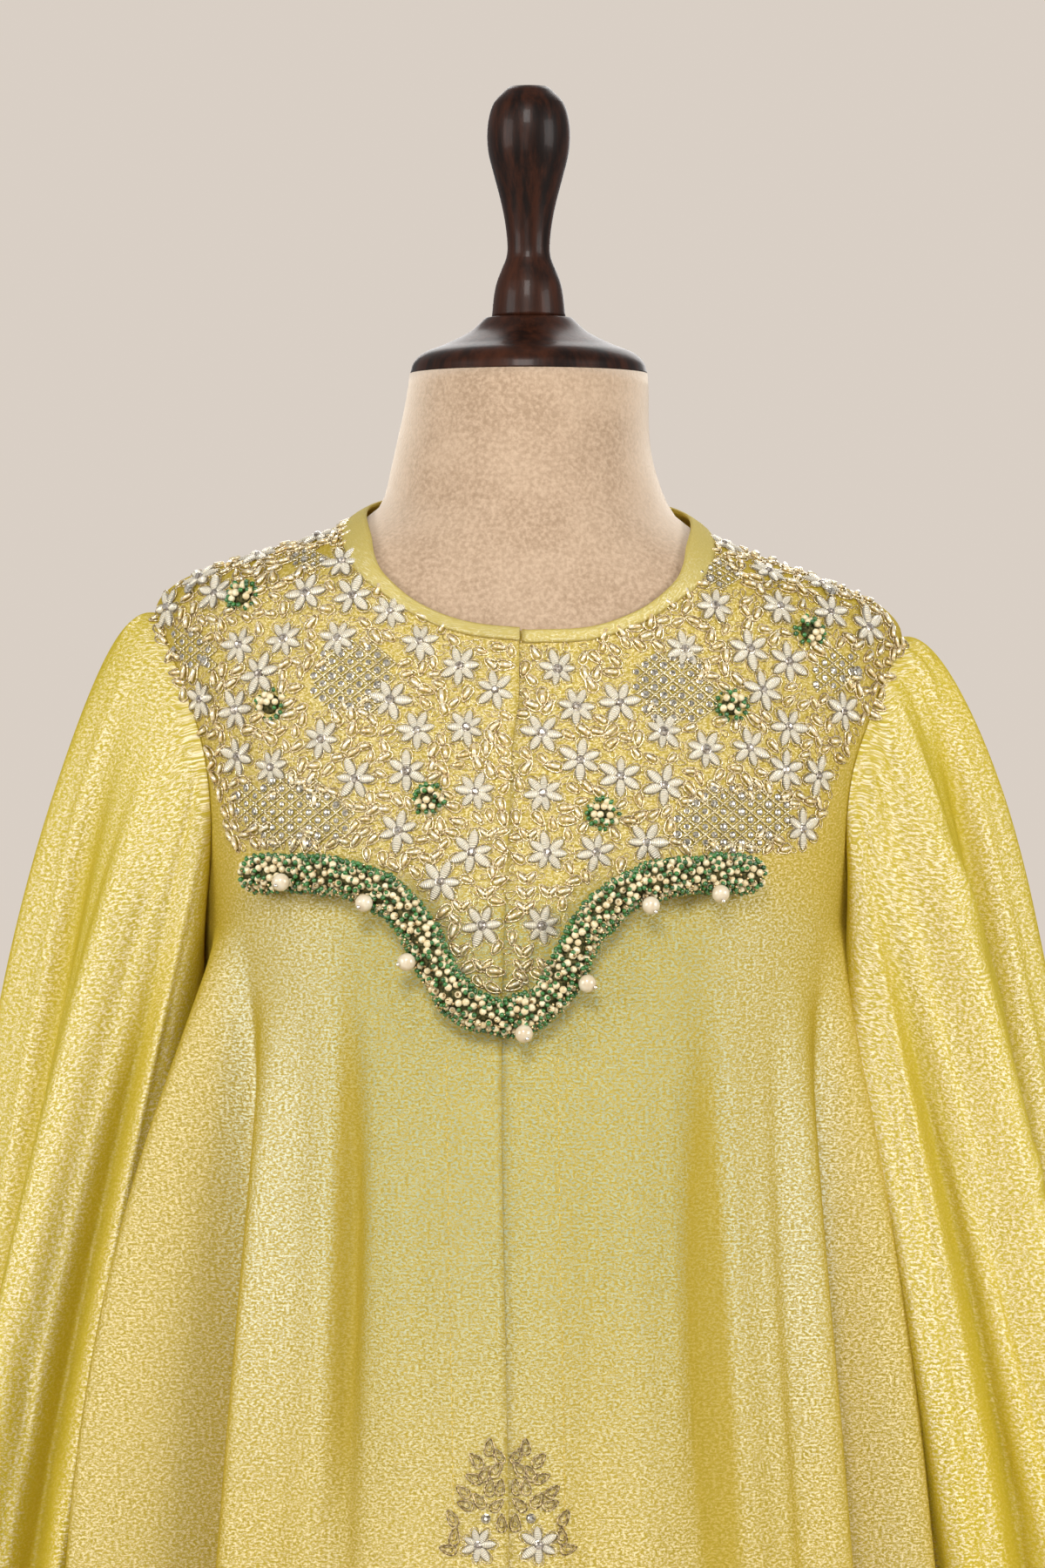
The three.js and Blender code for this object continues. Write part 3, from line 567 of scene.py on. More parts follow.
# %% Folds of the body
# Each row: angle, drift in degrees a metre, half width in degrees, top, depth at the hips, at the hem
BODY_FOLDS = [
    (-18, 0, 7, 1110, 3, 13), (-29, 0, 6, 1180, -5, -14), (-49, 0, 8, 1190, 13, 24),
    (-57, 0, 5.5, 1190, -10, -14), (-66, 0, 10, 1218, 63, 70), (8, 3, 7, 1130, -4, -14),
    (24, -2, 8, 1150, -3, 13), (53, 0, 8, 1200, 12, 24), (62, 0, 5, 1190, -9, -12),
    (70, 0, 8.5, 1218, 31, 60), (104, 0, 12, 1050, 8, 40), (121, -2, 12, 1200, 46, 58),
    (138, 0, 9, 1180, -10, -20), (155, 2, 10, 1160, 16, 34), (170, -4, 8, 1150, -8, -20),
    (-172, 4, 9, 1150, 10, 26), (-156, 0, 8, 1160, -10, -22), (-140, 2, 10, 1190, 18, 30),
    (-122, 2, 12, 1200, 50, 60), (-104, 0, 12, 1050, 6, 36),
]


def fold_depth(angle, z):
    """How far the long folds stand out, in millimetres"""
    out = np.zeros(np.broadcast(angle, z).shape)
    for at, drift, width, top, middle, hem in BODY_FOLDS:
        centre = at + drift * (top - z) / 1000
        share = bump(turned(angle - centre) / width)
        begun = 1 - np.maximum((z - HIPS) / (top - HIPS), 0) ** 2.3
        down = np.maximum((HIPS - z) / (HIPS - HEM), 0)
        out += np.where(z < top, share * begun * (middle + (hem - middle) * down), 0)
    return out


# %% [markdown]
# On top of the folds lie the creases: soft troughs and ridges that the eye reads as cloth. Each one is
# a line on the cloth with its own ends, width, depth and bow, and it dies away towards both ends.

# %% Creases
def crease_depth(across, along, creases):
    """How far creases move the cloth out, at distances across and along it in millimetres"""
    out = np.zeros(np.broadcast(across, along).shape)
    for x0, y0, x1, y1, width, depth, bow in creases:
        length = math.hypot(x1 - x0, y1 - y0)
        dx = (x1 - x0) / length
        dy = (y1 - y0) / length
        run = ((across - x0) * dx + (along - y0) * dy) / length
        aside = (across - x0) * dy - (along - y0) * dx + bow * (1 - (2 * run - 1) ** 2)
        out += depth * bump(aside / width) * bump(2 * run - 1) ** 0.7
    return out


# Each row: across and height where it starts, across and height where it ends, half width, depth, bow.
# Across is in millimetres round the body from the centre front, at the chest.
BODY_CREASES = [
    (-86, 1235, -84, 900, 14, -4.0, 3), (-52, 1000, -60, 640, 13, -1.1, -3),
    (-30, 1150, -40, 960, 10, -1.0, -4), (26, 1175, 33, 930, 12, -0.9, -5),
    (81, 1225, 84, 800, 19, -4.6, -4), (60, 1130, 54, 900, 9, 1.2, 3),
    (-118, 1200, -122, 760, 8, 1.4, 3), (116, 1190, 122, 760, 9, 1.8, -3),
    (-150, 1110, -146, 600, 7, -3.2, -3), (152, 1120, 150, 560, 7, -3.0, 3),
    (-205, 1120, -200, 640, 9, 2.2, 4), (-181, 960, -190, 420, 10, -2.2, 3),
    (-226, 1165, -214, 860, 7, -1.8, -5), (206, 1120, 203, 600, 9, 2.2, -4),
    (184, 980, 192, 400, 9, -2.0, -3), (228, 1170, 217, 880, 7, -1.6, 5),
    (-110, 1232, -60, 1205, 7, 0.5, 3), (108, 1236, 62, 1208, 7, 0.5, -3),
    (330, 1190, 322, 760, 13, -2.6, 4), (360, 1150, 368, 640, 12, 1.8, -3),
    (402, 1200, 398, 700, 13, -2.4, -4), (448, 1170, 452, 640, 12, 2.0, 3),
    (486, 1140, 482, 520, 12, -2.2, 4), (524, 1180, 530, 700, 13, 1.9, -4),
    (566, 1150, 560, 640, 12, -2.4, 3), (610, 1190, 616, 760, 13, 2.2, 4),
    (300, 1180, 290, 780, 9, 1.8, 4), (345, 560, 352, 120, 15, -4.0, 4),
    (430, 600, 424, 90, 15, 3.6, -4), (540, 640, 548, 110, 15, -4.2, 4),
    (-70, 620, -76, 80, 13, 3.4, 3), (66, 640, 72, 90, 13, -3.4, -3),
    (150, 600, 158, 90, 14, 3.6, 3), (-152, 640, -160, 90, 14, -3.6, -3),
    (252, 1232, 246, 1050, 34, 6.5, 0), (-252, 1232, -246, 1050, 30, 4.0, 0),
    (727, 1232, 733, 1050, 30, 4.0, 0),
]
CHEST_TURN = 2.72  # millimetres round the chest for each degree


def across_body(angle):
    """Millimetres round the chest from the centre front. The back runs on past the right side."""
    return np.where(angle < -90, angle + 360, angle) * CHEST_TURN


def body_point(angle, z, lift=0.0, creased=True):
    """The outside of the cloth, in millimetres"""
    point = on_section(cloth_section(z), angle, z)
    out = fold_depth(angle, z) + lift
    if creased:
        # On the chest a crease may go in by no more than 0.6 mm, because the form is close behind
        creases = crease_depth(across_body(angle), z, BODY_CREASES)
        fitted = smooth((z - 1150) / 100)
        out = out + np.maximum(creases, -0.6 - 8 * (1 - fitted))
    around = np.hypot(point[..., 0], point[..., 1])
    point[..., 0] += point[..., 0] / around * out
    point[..., 1] += point[..., 1] / around * out
    return point


def front_edge(z):
    """Where the centre front edge hangs, in millimetres across"""
    return curve((62, 930, 1180, 1355), (-10, -9, -12, -4), z)


def angle_across(x, z):
    """The angle at which the front is that far from the middle"""
    half, _, _, power = cloth_section(z)
    share = np.minimum(np.abs(x) / half, 1)
    return np.sign(x) * np.arcsin(share ** (power / 2)) / DEGREE


def lap_lift(inward):
    """How far the upper front is lifted, at a distance in from its edge"""
    return OVERLAP_LIFT * (1 - smooth((inward - UNDERLAP) / UNDERLAP))


def in_from_edge(angle, z):
    return front_edge(z) - on_section(cloth_section(z), angle, z)[..., 0]


print("fold depth at 930, -66 degrees:", round(float(fold_depth(-66.0, np.array(930.0))), 1), "mm")

# %% [markdown]
# A panel of cloth is a grid of points: rows round the body and columns down it. The grid becomes a
# mesh with a UV map measured in metres along the cloth, which the weave follows. A Solidify modifier
# gives it the thickness of the tissue, inwards, so that its outside stays where the pattern put it.

# %% Grids to meshes
def mesh_object(name, points, faces, finish, uvs=None):
    """An object at the origin, from points in millimetres"""
    mesh = bpy.data.meshes.new(name)
    mesh.from_pydata((np.asarray(points) * MM).tolist(), [], faces)
    if uvs is not None:
        layer = mesh.uv_layers.new(name="along")
        corners = np.concatenate([np.asarray(uv, float) for uv in uvs])
        layer.data.foreach_set("uv", corners.ravel())
    mesh.materials.append(finish)
    mesh.shade_smooth()
    return added(name, mesh)


def point_layer(piece, name, values):
    """Writes one number for each point of a mesh"""
    layer = piece.data.attributes.new(name, "FLOAT", "POINT")
    layer.data.foreach_set("value", np.asarray(values, float).ravel())
    return piece


def grid_object(name, rows, finish, closed=False, heights=None, middle=0, hollow=None):
    """A mesh through rows of points. Its UV map is in metres, across from the middle column and up."""
    rows = np.asarray(rows)
    count, columns = rows.shape[:2]
    loop = np.concatenate([rows, rows[:, :1]], 1) if closed else rows
    axes = 3 if heights is None else 2
    across = np.linalg.norm(np.diff(loop, axis=1)[..., :axes], axis=-1)
    u = np.concatenate([np.zeros((count, 1)), np.cumsum(across, 1)], 1)
    u = (u - u[:, middle:middle + 1]) * MM
    if heights is None:
        down = np.linalg.norm(np.diff(loop, axis=0), axis=-1)[::-1]
        heights = np.concatenate([np.zeros((1, loop.shape[1])), np.cumsum(down, 0)], 0)[::-1]
    v = heights * MM
    faces = []
    uvs = []
    for r in range(count - 1):
        for c in range(loop.shape[1] - 1):
            n = (c + 1) % columns
            faces.append([r * columns + c, (r + 1) * columns + c, (r + 1) * columns + n, r * columns + n])
            corners = ((r, c), (r + 1, c), (r + 1, c + 1), (r, c + 1))
            uvs.append([(u[corner], v[corner]) for corner in corners])
    piece = mesh_object(name, rows.reshape(-1, 3), faces, finish, uvs)
    if hollow is not None:
        point_layer(piece, "hollow", hollow)
    return piece


def thickened(piece, thickness):
    """Gives a sheet a thickness in millimetres, inwards"""
    wall = piece.modifiers.new("thickness", "SOLIDIFY")
    wall.thickness = thickness * MM
    wall.offset = -1
    wall.use_even_offset = False
    return piece


def grid_area(rows):
    """The area of a grid of points in square metres"""
    rows = np.asarray(rows) * MM
    a = rows[1:, :-1] - rows[:-1, :-1]
    b = rows[:-1, 1:] - rows[:-1, :-1]
    return float(np.linalg.norm(np.cross(a, b), axis=-1).sum())


# %% [markdown]
# The rings of the body run level below the underarm and follow the neckline above it. Beside the
# armhole, which is an oval, a panel stops at the oval's edge, so a ring there also says at which angle
# the side is. Only the outer half of a ring gives way to the armhole. The sleeve starts from the same
# oval, and the two edges meet in the seam.

# %% Rings
ARMHOLE_MIDDLE = 1288
ARMHOLE_HALF_HEIGHT = 70
ARMHOLE_HALF_ANGLE = 24
SIDE_NECK = 1411
LOWER_RINGS = 940


def body_rings():
    """Each row: a ring's height at the side seam or the armhole, and the angle there"""
    shoulder = [(z, 90.0) for z in np.linspace(SIDE_NECK, 1359.5, 22)]
    level = 0.25 * np.linspace(1, -1, 56) + 0.75 * np.cos(np.linspace(0, math.pi, 56))
    oval = np.stack([
        ARMHOLE_MIDDLE + ARMHOLE_HALF_HEIGHT * level,
        90 - ARMHOLE_HALF_ANGLE * np.sqrt(1 - level**2),
    ], -1)
    hanging = [(z, 90.0) for z in np.linspace(UNDERARM, LOWER_RINGS, 62)[1:]]
    lower = [(z, 90.0) for z in np.linspace(LOWER_RINGS, HEM, 66)[1:]]
    return np.array([*shoulder, *oval.tolist(), *hanging, *lower])


rings = body_rings()


def along_ring(ring, start, share, behind=False):
    """Degrees from the middle and heights along a ring, from the start to the side"""
    z, reach = ring
    near = smooth(2 * share - 1)
    turn = start + (90 - start) * share + (reach - 90) * near
    if z <= UNDERARM:
        return turn, np.full(share.shape, z)
    down = (SIDE_NECK - z) / (SIDE_NECK - UNDERARM)
    top = neck_height(180 - turn if behind else turn)
    side_top = neck_height(180 - reach if behind else reach)
    height = top + (UNDERARM - top) * down
    return turn, height + (z - side_top - (UNDERARM - side_top) * down) * near


print("rings:", len(rings))

# %% [markdown]
# Two fronts and a back. The left front, as seen, lies on top of the right one by 22 mm, so it is
# lifted there, and its edge waves a little between the sewn points, as a soft edge does.

# %% Fronts and back
# hollow drives the tissue's painted shade in the creases
def hollow_at(angle, z):
    """1 at the bottom of a crease or a fold and -1 on its top"""
    creases = crease_depth(across_body(angle), z, BODY_CREASES)
    valleys = np.minimum(fold_depth(angle, z) + 4.5, 0)
    return np.clip(-creases / 4 - valleys / 7, -1, 1)


def front_rows(side, columns):
    """Rows of one front, side -1 or 1. Its columns stand closer round the deep fold near the side."""
    share = np.linspace(0, 1, columns)
    share = share - 0.06 * (np.sin(2 * math.pi * (share - 0.62)) + math.sin(2 * math.pi * 0.62))
    rows = []
    hollows = []
    for ring in rings:
        z = float(along_ring(ring, 0.0, np.zeros(1))[1][0])
        edge = float(front_edge(z))
        first = float(angle_across(np.array(edge if side < 0 else edge - UNDERLAP + 0.5), np.array(z)))
        turn, height = along_ring(ring, side * first, share)
        angles = side * turn
        lift = lap_lift(in_from_edge(angles, height)) if side < 0 else 0.0
        row = body_point(angles, height, lift)
        if side < 0:
            # The upper edge waves by about a millimetre between two stitches below the neck
            wave = 1.3 * math.sin(z / 13) * math.exp(-((z - 1315) / 26) ** 2)
            near = np.clip(1 - in_from_edge(angles, height) / 9, 0, 1)
            row[:, 0] += wave * near
            row[:, 1] -= 0.9 * abs(wave) * near
        rows.append(row[::side])
        hollows.append(hollow_at(angles, height)[::side])
    return np.array(rows), np.array(hollows)


def back_rows(columns):
    share = np.linspace(-1, 1, columns)
    rows = []
    hollows = []
    for ring in rings:
        turn, height = along_ring(ring, 0.0, np.abs(share), behind=True)
        angles = turned(180 - turn * np.where(share < 0, 1, -1))
        rows.append(body_point(angles, height))
        hollows.append(hollow_at(angles, height))
    return np.array(rows), np.array(hollows)


TISSUE_THICKNESS = 0.5
panels = {}
panel_rows = {}
# Each row: the node, its grid and hollows, and the column that is its straight grain
body_grids = (
    ("front_left", front_rows(-1, 112), 111),
    ("front_right", front_rows(1, 112), 0),
    ("back", back_rows(163), 81),
)
for node, (rows, hollow), middle in body_grids:
    panel_rows[node] = rows
    heights = rows[..., 2]
    name = node + "_cloth"
    cloth = grid_object(name, rows, body_tissue, False, heights, middle, hollow)
    panels[node] = thickened(cloth, TISSUE_THICKNESS)
    print(node, "area", round(grid_area(rows), 3), "m2")

# %% [markdown]
# The sleeves are set into the oval and fall almost straight down, very wide. Four curved lines, on top,
# in front, underneath and behind, carry the shape, and the points between them are blended. Folds and
# creases then move the cloth out along its own normal. The head of the sleeve is eased into the seam
# with small pleats, which are short creases that start at the armhole.

# %% Sleeves
SLEEVE_HEM = 752
# Each row: out, forward and down at the armhole; out, forward and up at the hem
SLEEVE_LINES = {
    -1: [
        (50, 0, -8, -51, 0, 300), (16, 8, 70, -18, 0, 250),
        (-4, 12, 55, -34, 8, 240), (16, -26, 70, -18, 8, 250),
    ],
    1: [
        (50, 0, -8, -51, 0, 300), (12, 8, 70, -24, 6, 250),
        (-26, 44, 66, -46, 34, 240), (16, -26, 70, -18, 8, 250),
    ],
}
SLEEVE_OUT = 251
SLEEVE_HALF_OUT = 57
SLEEVE_HALF = 82
SLEEVE_FORWARD = -18
# Each row: degrees round the sleeve, half width, share of the way down where it starts, depth there
# and at the hem. 0 is on top, 90 in front, 180 underneath.
SLEEVE_FOLDS = {
    -1: [
        (12, 17, 0.12, 5, 12), (38, 13, 0.1, -6, -15), (62, 15, 0.08, 8, 20), (92, 16, 0.1, -7, -16),
        (122, 14, 0.3, 0, 8), (235, 16, 0.2, 5, 16), (266, 15, 0.15, -8, -16), (296, 16, 0.12, 9, 20),
        (328, 14, 0.12, -7, -15),
    ],
    1: [
        (8, 14, 0.06, 5, 14), (32, 12, 0.04, -10, -17), (56, 15, 0.03, 14, 22), (88, 15, 0.1, -6, -15),
        (118, 14, 0.3, 3, 12), (235, 16, 0.2, 5, 16), (264, 14, 0.15, -8, -16), (292, 15, 0.1, 10, 20),
        (324, 13, 0.08, -8, -15),
    ],
}
# Each row: degrees round and millimetres down where it starts and ends, half width, depth, bow
SLEEVE_CREASES = {
    -1: [
        (30, 6, 34, 620, 5, 2.2, 2), (52, 60, 48, 560, 6, -1.8, -3), (74, 40, 70, 640, 5, 1.9, 3),
        (84, 0, 88, 170, 5, -1.6, 0), (104, 30, 100, 460, 7, 1.6, -3), (14, 160, 18, 620, 7, 1.8, 4),
        (118, 200, 112, 640, 6, -2.0, 3), (62, 330, 84, 470, 6, -1.6, 4), (40, 420, 66, 560, 7, 1.8, -5),
        (140, 120, 136, 600, 7, 1.7, 3), (96, 430, 120, 560, 6, 1.5, 4), (8, 0, 12, 90, 4, 1.3, 0),
        (350, 60, 346, 520, 8, 1.9, 3), (312, 40, 318, 560, 8, -2.0, -3), (284, 90, 280, 620, 7, 1.8, 3),
        (250, 60, 256, 560, 8, -1.9, 3), (222, 140, 226, 620, 7, 1.6, -3), (300, 330, 276, 460, 7, 1.6, 4),
    ],
    1: [
        (12, 0, 16, 80, 4, 2.0, 0), (24, 0, 27, 120, 4, 2.4, 0), (36, 0, 40, 150, 4, -2.2, 0),
        (47, 0, 52, 230, 5, 2.6, 1), (60, 0, 62, 130, 4, -1.8, 0), (72, 0, 76, 110, 4, 1.8, 0),
        (86, 0, 88, 130, 4, -1.4, 0), (66, 90, 34, 410, 6, 3.2, 6), (84, 120, 60, 520, 6, -2.4, -4),
        (22, 120, 18, 560, 6, 2.2, -3), (44, 330, 78, 352, 6, 2.6, 3), (50, 350, 38, 640, 6, 2.2, 4),
        (100, 60, 96, 600, 7, 2.0, -3), (118, 150, 122, 640, 7, -2.1, 3), (76, 470, 40, 560, 6, 2.4, -5),
        (92, 400, 64, 640, 6, -2.0, 4), (140, 120, 136, 600, 7, 1.8, 3), (8, 200, 6, 620, 8, -1.9, 3),
        (350, 60, 346, 520, 8, 1.9, 3), (318, 30, 312, 560, 8, -2.0, -3), (286, 90, 290, 620, 7, 1.8, 3),
        (252, 60, 248, 560, 8, -1.9, 3), (224, 140, 220, 620, 7, 1.6, -3), (276, 300, 304, 430, 7, 1.7, 4),
    ],
}
SLEEVE_TURN = 1.1  # millimetres round the sleeve for each degree, for the creases
SLEEVE_LENGTH = 640
DEEPER = 1.15


def armhole_point(side, around):
    """A point of the armhole's oval, on the cloth of the body"""
    turn = np.where(around > 180, 360 - around, around) * DEGREE
    z = ARMHOLE_MIDDLE + ARMHOLE_HALF_HEIGHT * np.cos(turn)
    angle = side * (90 - np.where(around > 180, -1, 1) * ARMHOLE_HALF_ANGLE * np.sin(turn))
    return body_point(angle, z, 0.1)


def sleeve_line(side, around, t):
    """A point of the sleeve without folds, on a curve from the armhole to the hem"""
    c = np.cos(around * DEGREE)
    s = np.sin(around * DEGREE)
    weights = np.stack([np.maximum(v, 0) ** 2 for v in (c, s, -c, -s)], -1)
    lines = np.moveaxis(weights @ np.array(SLEEVE_LINES[side]), -1, 0)
    out, forward, down, last_out, last_forward, last_up = lines
    start = armhole_point(side, around)
    hem_x = side * (SLEEVE_OUT + SLEEVE_HALF_OUT * c)
    hem_y = -SLEEVE_HALF * s - SLEEVE_FORWARD
    end = np.stack([hem_x, hem_y, np.full(c.shape, SLEEVE_HEM, float)], -1)
    first = start + np.stack([side * out, -forward, -down], -1)
    last = end + np.stack([side * last_out, -last_forward, last_up], -1)
    t = t[..., None]
    return (
        start * (1 - t) ** 3
        + first * 3 * (1 - t) ** 2 * t
        + last * 3 * (1 - t) * t**2
        + end * t**3
    )


def sleeve_out(side, around, t):
    """How far folds and creases move the sleeve out"""
    out = np.zeros(around.shape)
    for at, width, start, middle, hem in SLEEVE_FOLDS[side]:
        begun = smooth((t - start) / 0.35)
        out += bump(turned(around - at) / width) * begun * (middle + (hem - middle) * t)
    rows = [
        (x0 * SLEEVE_TURN, y0, x1 * SLEEVE_TURN, y1, width, DEEPER * depth, bow)
        for x0, y0, x1, y1, width, depth, bow in SLEEVE_CREASES[side]
    ]
    seam = smooth(t / 0.02)
    return out + crease_depth(around * SLEEVE_TURN, t * SLEEVE_LENGTH, rows) * seam


def sleeve_rows(side, columns, count):
    share = (np.linspace(0, 1, count) ** 1.15)[:, None]
    around = (180 + np.linspace(0, 360, columns, endpoint=False))[None, :] % 360
    t, around = np.broadcast_arrays(share, around)
    points = sleeve_line(side, around, t)
    across = np.roll(points, -1, 1) - np.roll(points, 1, 1)
    down = np.gradient(points, axis=0)
    outward = side * np.cross(across, down)
    outward /= np.linalg.norm(outward, axis=-1, keepdims=True)
    out = sleeve_out(side, around, t)
    points = points + outward * out[..., None]
    # hollow drives the tissue's painted shade in the creases
    hollow = np.clip(-out / 14, -1, 0.55)
    return (points[:, ::-1], hollow[:, ::-1]) if side > 0 else (points, hollow)


for side, node in ((-1, "sleeve_left"), (1, "sleeve_right")):
    rows, hollow = sleeve_rows(side, 176, 120)
    panel_rows[node] = rows
    sleeve = grid_object(
        node + "_cloth", rows, sleeve_tissue, closed=True, middle=88, hollow=hollow
    )
    panels[node] = thickened(sleeve, TISSUE_THICKNESS)
    print(node, "area", round(grid_area(rows), 3), "m2")

# %% [markdown]
# The neckline is bound with a narrow bias strip. It is folded over the raw edge, so it is rounder and
# thicker than one layer of cloth, with a small roll along its middle.

# %% Neck binding
def moved_out(rows, distance):
    across = np.gradient(rows, axis=1)
    down = np.gradient(rows, axis=0)
    outward = np.cross(down, across)
    outward /= np.linalg.norm(outward, axis=-1, keepdims=True)
    return rows + outward * distance


def binding_rows(columns):
    """Six rows across the strip, raised in a soft roll"""
    rows = []
    start = float(angle_across(front_edge(1352), np.array(1352.0)))
    angles = turned(start + np.linspace(0.4, 360, columns))
    for drop in (-0.6, 0.4, 1.8, 3.2, 4.6, 5.6):
        rows.append(body_point(angles, neck_height(angles) - drop, 0.0, False))
    rows = np.array(rows)
    outward = moved_out(rows, 1.0) - rows
    rolls = np.array([0.5, 1.3, 1.75, 1.85, 1.5, 0.6])
    inward = in_from_edge(angles, neck_height(angles))
    over = np.where(inward > -0.3, lap_lift(inward), 0)
    return rows + outward * (rolls[:, None] + over[None, :])[..., None]


rows = binding_rows(300)
panel_rows["neck_binding"] = rows
binding = grid_object("neck_binding_cloth", rows, binding_tissue)
panels["neck_binding"] = thickened(binding, 0.8)
print("binding area", round(grid_area(rows), 4), "m2")

# %% [markdown]
# The form is a smooth loft through its sections, and the cap, finial and their curves are turned, which
# means that one profile is swung round the upright axis. Both finer shapes stand for the plain ones.

# %% Form, cap and finial
FORM_FOOT = 770.0
NECK_TOP = 1476


def form_rows(columns, count):
    """Rows round the form. The neck leans a little aside."""
    heights = np.concatenate([[FORM_FOOT], np.linspace(FORM_FOOT + 1.5, NECK_TOP, count)])
    angles = np.linspace(0, 360, columns, endpoint=False)
    rows = []
    for z in heights:
        section = section_at(FORM_SECTIONS, np.full(columns, z))
        row = on_section(section, angles, np.full(columns, z))
        row[:, 0] += NECK_SWAY * bump((z - 1437) / 40)
        rows.append(row)
    return np.array(rows[::-1])


def closed_ends(rows):
    """Rows with a small ring at each end, so that a lathe or loft has no hole there"""
    top = rows[0].mean(0) + (rows[0] - rows[0].mean(0)) * 0.02
    foot = rows[-1].mean(0) + (rows[-1] - rows[-1].mean(0)) * 0.02
    return np.concatenate([top[None], rows, foot[None]])


def capped(piece, columns):
    """Closes the small rings at both ends of a tube"""
    mesh = piece.data
    count = len(mesh.vertices)
    shape = bmesh.new()
    shape.from_mesh(mesh)
    shape.verts.ensure_lookup_table()
    shape.faces.new([shape.verts[i] for i in range(columns)])
    shape.faces.new([shape.verts[i] for i in range(count - 1, count - 1 - columns, -1)])
    shape.to_mesh(mesh)
    shape.free()
    return piece


torso_rows = closed_ends(form_rows(96, 120))
torso = capped(grid_object("torso_flocked", torso_rows, flock_finish, closed=True), 96)
print("torso:", len(torso.data.polygons), "faces")


def turned_piece(name, profile, bottom, sides, finish):
    """A lathe: a table of heights and radii swung round the upright axis"""
    table = np.array(profile, float)
    heights = np.unique(np.concatenate([table[:, 0], np.linspace(table[0, 0], table[-1, 0], 60)]))
    radii = curve(table[:, 0], table[:, 1], heights)
    turn = full_turn(sides)
    rows = np.array([
        np.stack([r * np.cos(turn), r * np.sin(turn), np.full(sides, bottom + z)], -1)
        for z, r in zip(heights[::-1], radii[::-1])
    ])
    return capped(grid_object(name, closed_ends(rows), finish, closed=True), sides)


SEAT = 0.3
CAP_HEIGHT = 26
FINIAL = [
    (0, 17.4), (10, 16.4), (16.4, 15.1), (22.7, 12.7), (28, 10.6), (33.2, 10), (43.6, 11),
    (54, 13), (66.6, 16.3), (77, 18.9), (85.5, 19.6), (93.8, 18.8), (101.2, 16.3),
    (106.4, 11.5), (108.5, 9),
]
CAP = [(0, 55.8), (5.2, 54), (9.6, 49), (13.2, 40), (19.2, 28), (CAP_HEIGHT, 20.4)]
cap = turned_piece("cap_turned", CAP, NECK_TOP + SEAT, 96, wood_finish)
finial = turned_piece("finial_turned", FINIAL, NECK_TOP + CAP_HEIGHT + 2 * SEAT, 72, wood_finish)
for node in ("stand_pole", "stand_base"):
    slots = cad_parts[node].data.materials
    slots.clear()
    slots.append(wood_finish)

# %% [markdown]
# The yoke is covered with metal petals, coiled wire and beads. One motif sewn at many places is what
# Geometry Nodes are for. This small class builds a tree whose inputs are named sizes, runs it on a
# start mesh, and keeps the result as a plain mesh, so nothing live is left on the finished piece.

# %% A way to write rules
class Rule:
    """A Geometry Nodes tree, built node by node"""

    def __init__(self, name, inputs):
        self.tree = bpy.data.node_groups.new(name, "GeometryNodeTree")
        for label, kind in {"Start": "Geometry", **inputs}.items():
            socket = f"NodeSocket{kind}"
            self.tree.interface.new_socket(label, in_out="INPUT", socket_type=socket)
        socket = "NodeSocketGeometry"
        self.tree.interface.new_socket("Made", in_out="OUTPUT", socket_type=socket)
        self.given = self.tree.nodes.new("NodeGroupInput").outputs

    def add(self, kind, settings=None, sockets=None, output=0):
        """A node with its settings and inputs. The result is one of its outputs."""
        node = self.tree.nodes.new(kind)
        for key, value in (settings or {}).items():
            setattr(node, key, value)
        for key, value in (sockets or {}).items():
            if isinstance(value, bpy.types.NodeSocket):
                self.tree.links.new(value, node.inputs[key])
            else:
                node.inputs[key].default_value = value
        return node.outputs[output]

    def attribute(self, name, kind="FLOAT"):
        return self.add("GeometryNodeInputNamedAttribute", {"data_type": kind}, {"Name": name})

    def motif(self):
        sockets = {"Object": self.given["Motif"]}
        return self.add("GeometryNodeObjectInfo", None, sockets, output="Geometry")

    def uneven_size(self, seed):
        """The given size, a little larger or smaller for each copy"""
        limits = {2: -1.0, 3: 1.0, "Seed": seed}
        chance = self.add("FunctionNodeRandomValue", {"data_type": "FLOAT"}, limits, output=1)
        sockets = {0: chance, 1: self.given["Unevenness"], 2: 1.0}
        uneven = self.add("ShaderNodeMath", {"operation": "MULTIPLY_ADD"}, sockets)
        return self.times(uneven, self.given["Size"])

    def times(self, first, second):
        return self.add("ShaderNodeMath", {"operation": "MULTIPLY"}, {0: first, 1: second})

    def same(self, socket, name):
        """Another output of the node that a socket is on"""
        return socket.node.outputs[name]

    def finish(self, geometry):
        """Ends the tree in real geometry with its material"""
        real = self.add("GeometryNodeRealizeInstances", None, {"Geometry": geometry})
        sockets = {"Geometry": real, "Material": self.given["Finish"]}
        painted = self.add("GeometryNodeSetMaterial", None, sockets)
        output = self.tree.nodes.new("NodeGroupOutput")
        self.tree.links.new(painted, output.inputs[0])

    def make(self, name, start, **values):
        """Runs the tree on a start object and keeps the result as a plain mesh"""
        modifier = start.modifiers.new("rule", "NODES")
        modifier.node_group = self.tree
        for item in self.tree.interface.items_tree:
            label = item.name.replace(" ", "_").lower()
            if item.item_type == "SOCKET" and item.in_out == "INPUT" and label in values:
                modifier[item.identifier] = values[label]
        graph = bpy.context.evaluated_depsgraph_get()
        evaluated = start.evaluated_get(graph)
        mesh = bpy.data.meshes.new_from_object(
            evaluated, preserve_all_data_layers=True, depsgraph=graph
        )
        mesh.name = name
        bpy.data.objects.remove(start)
        print(name, len(mesh.polygons), "faces")
        return added(name, mesh)


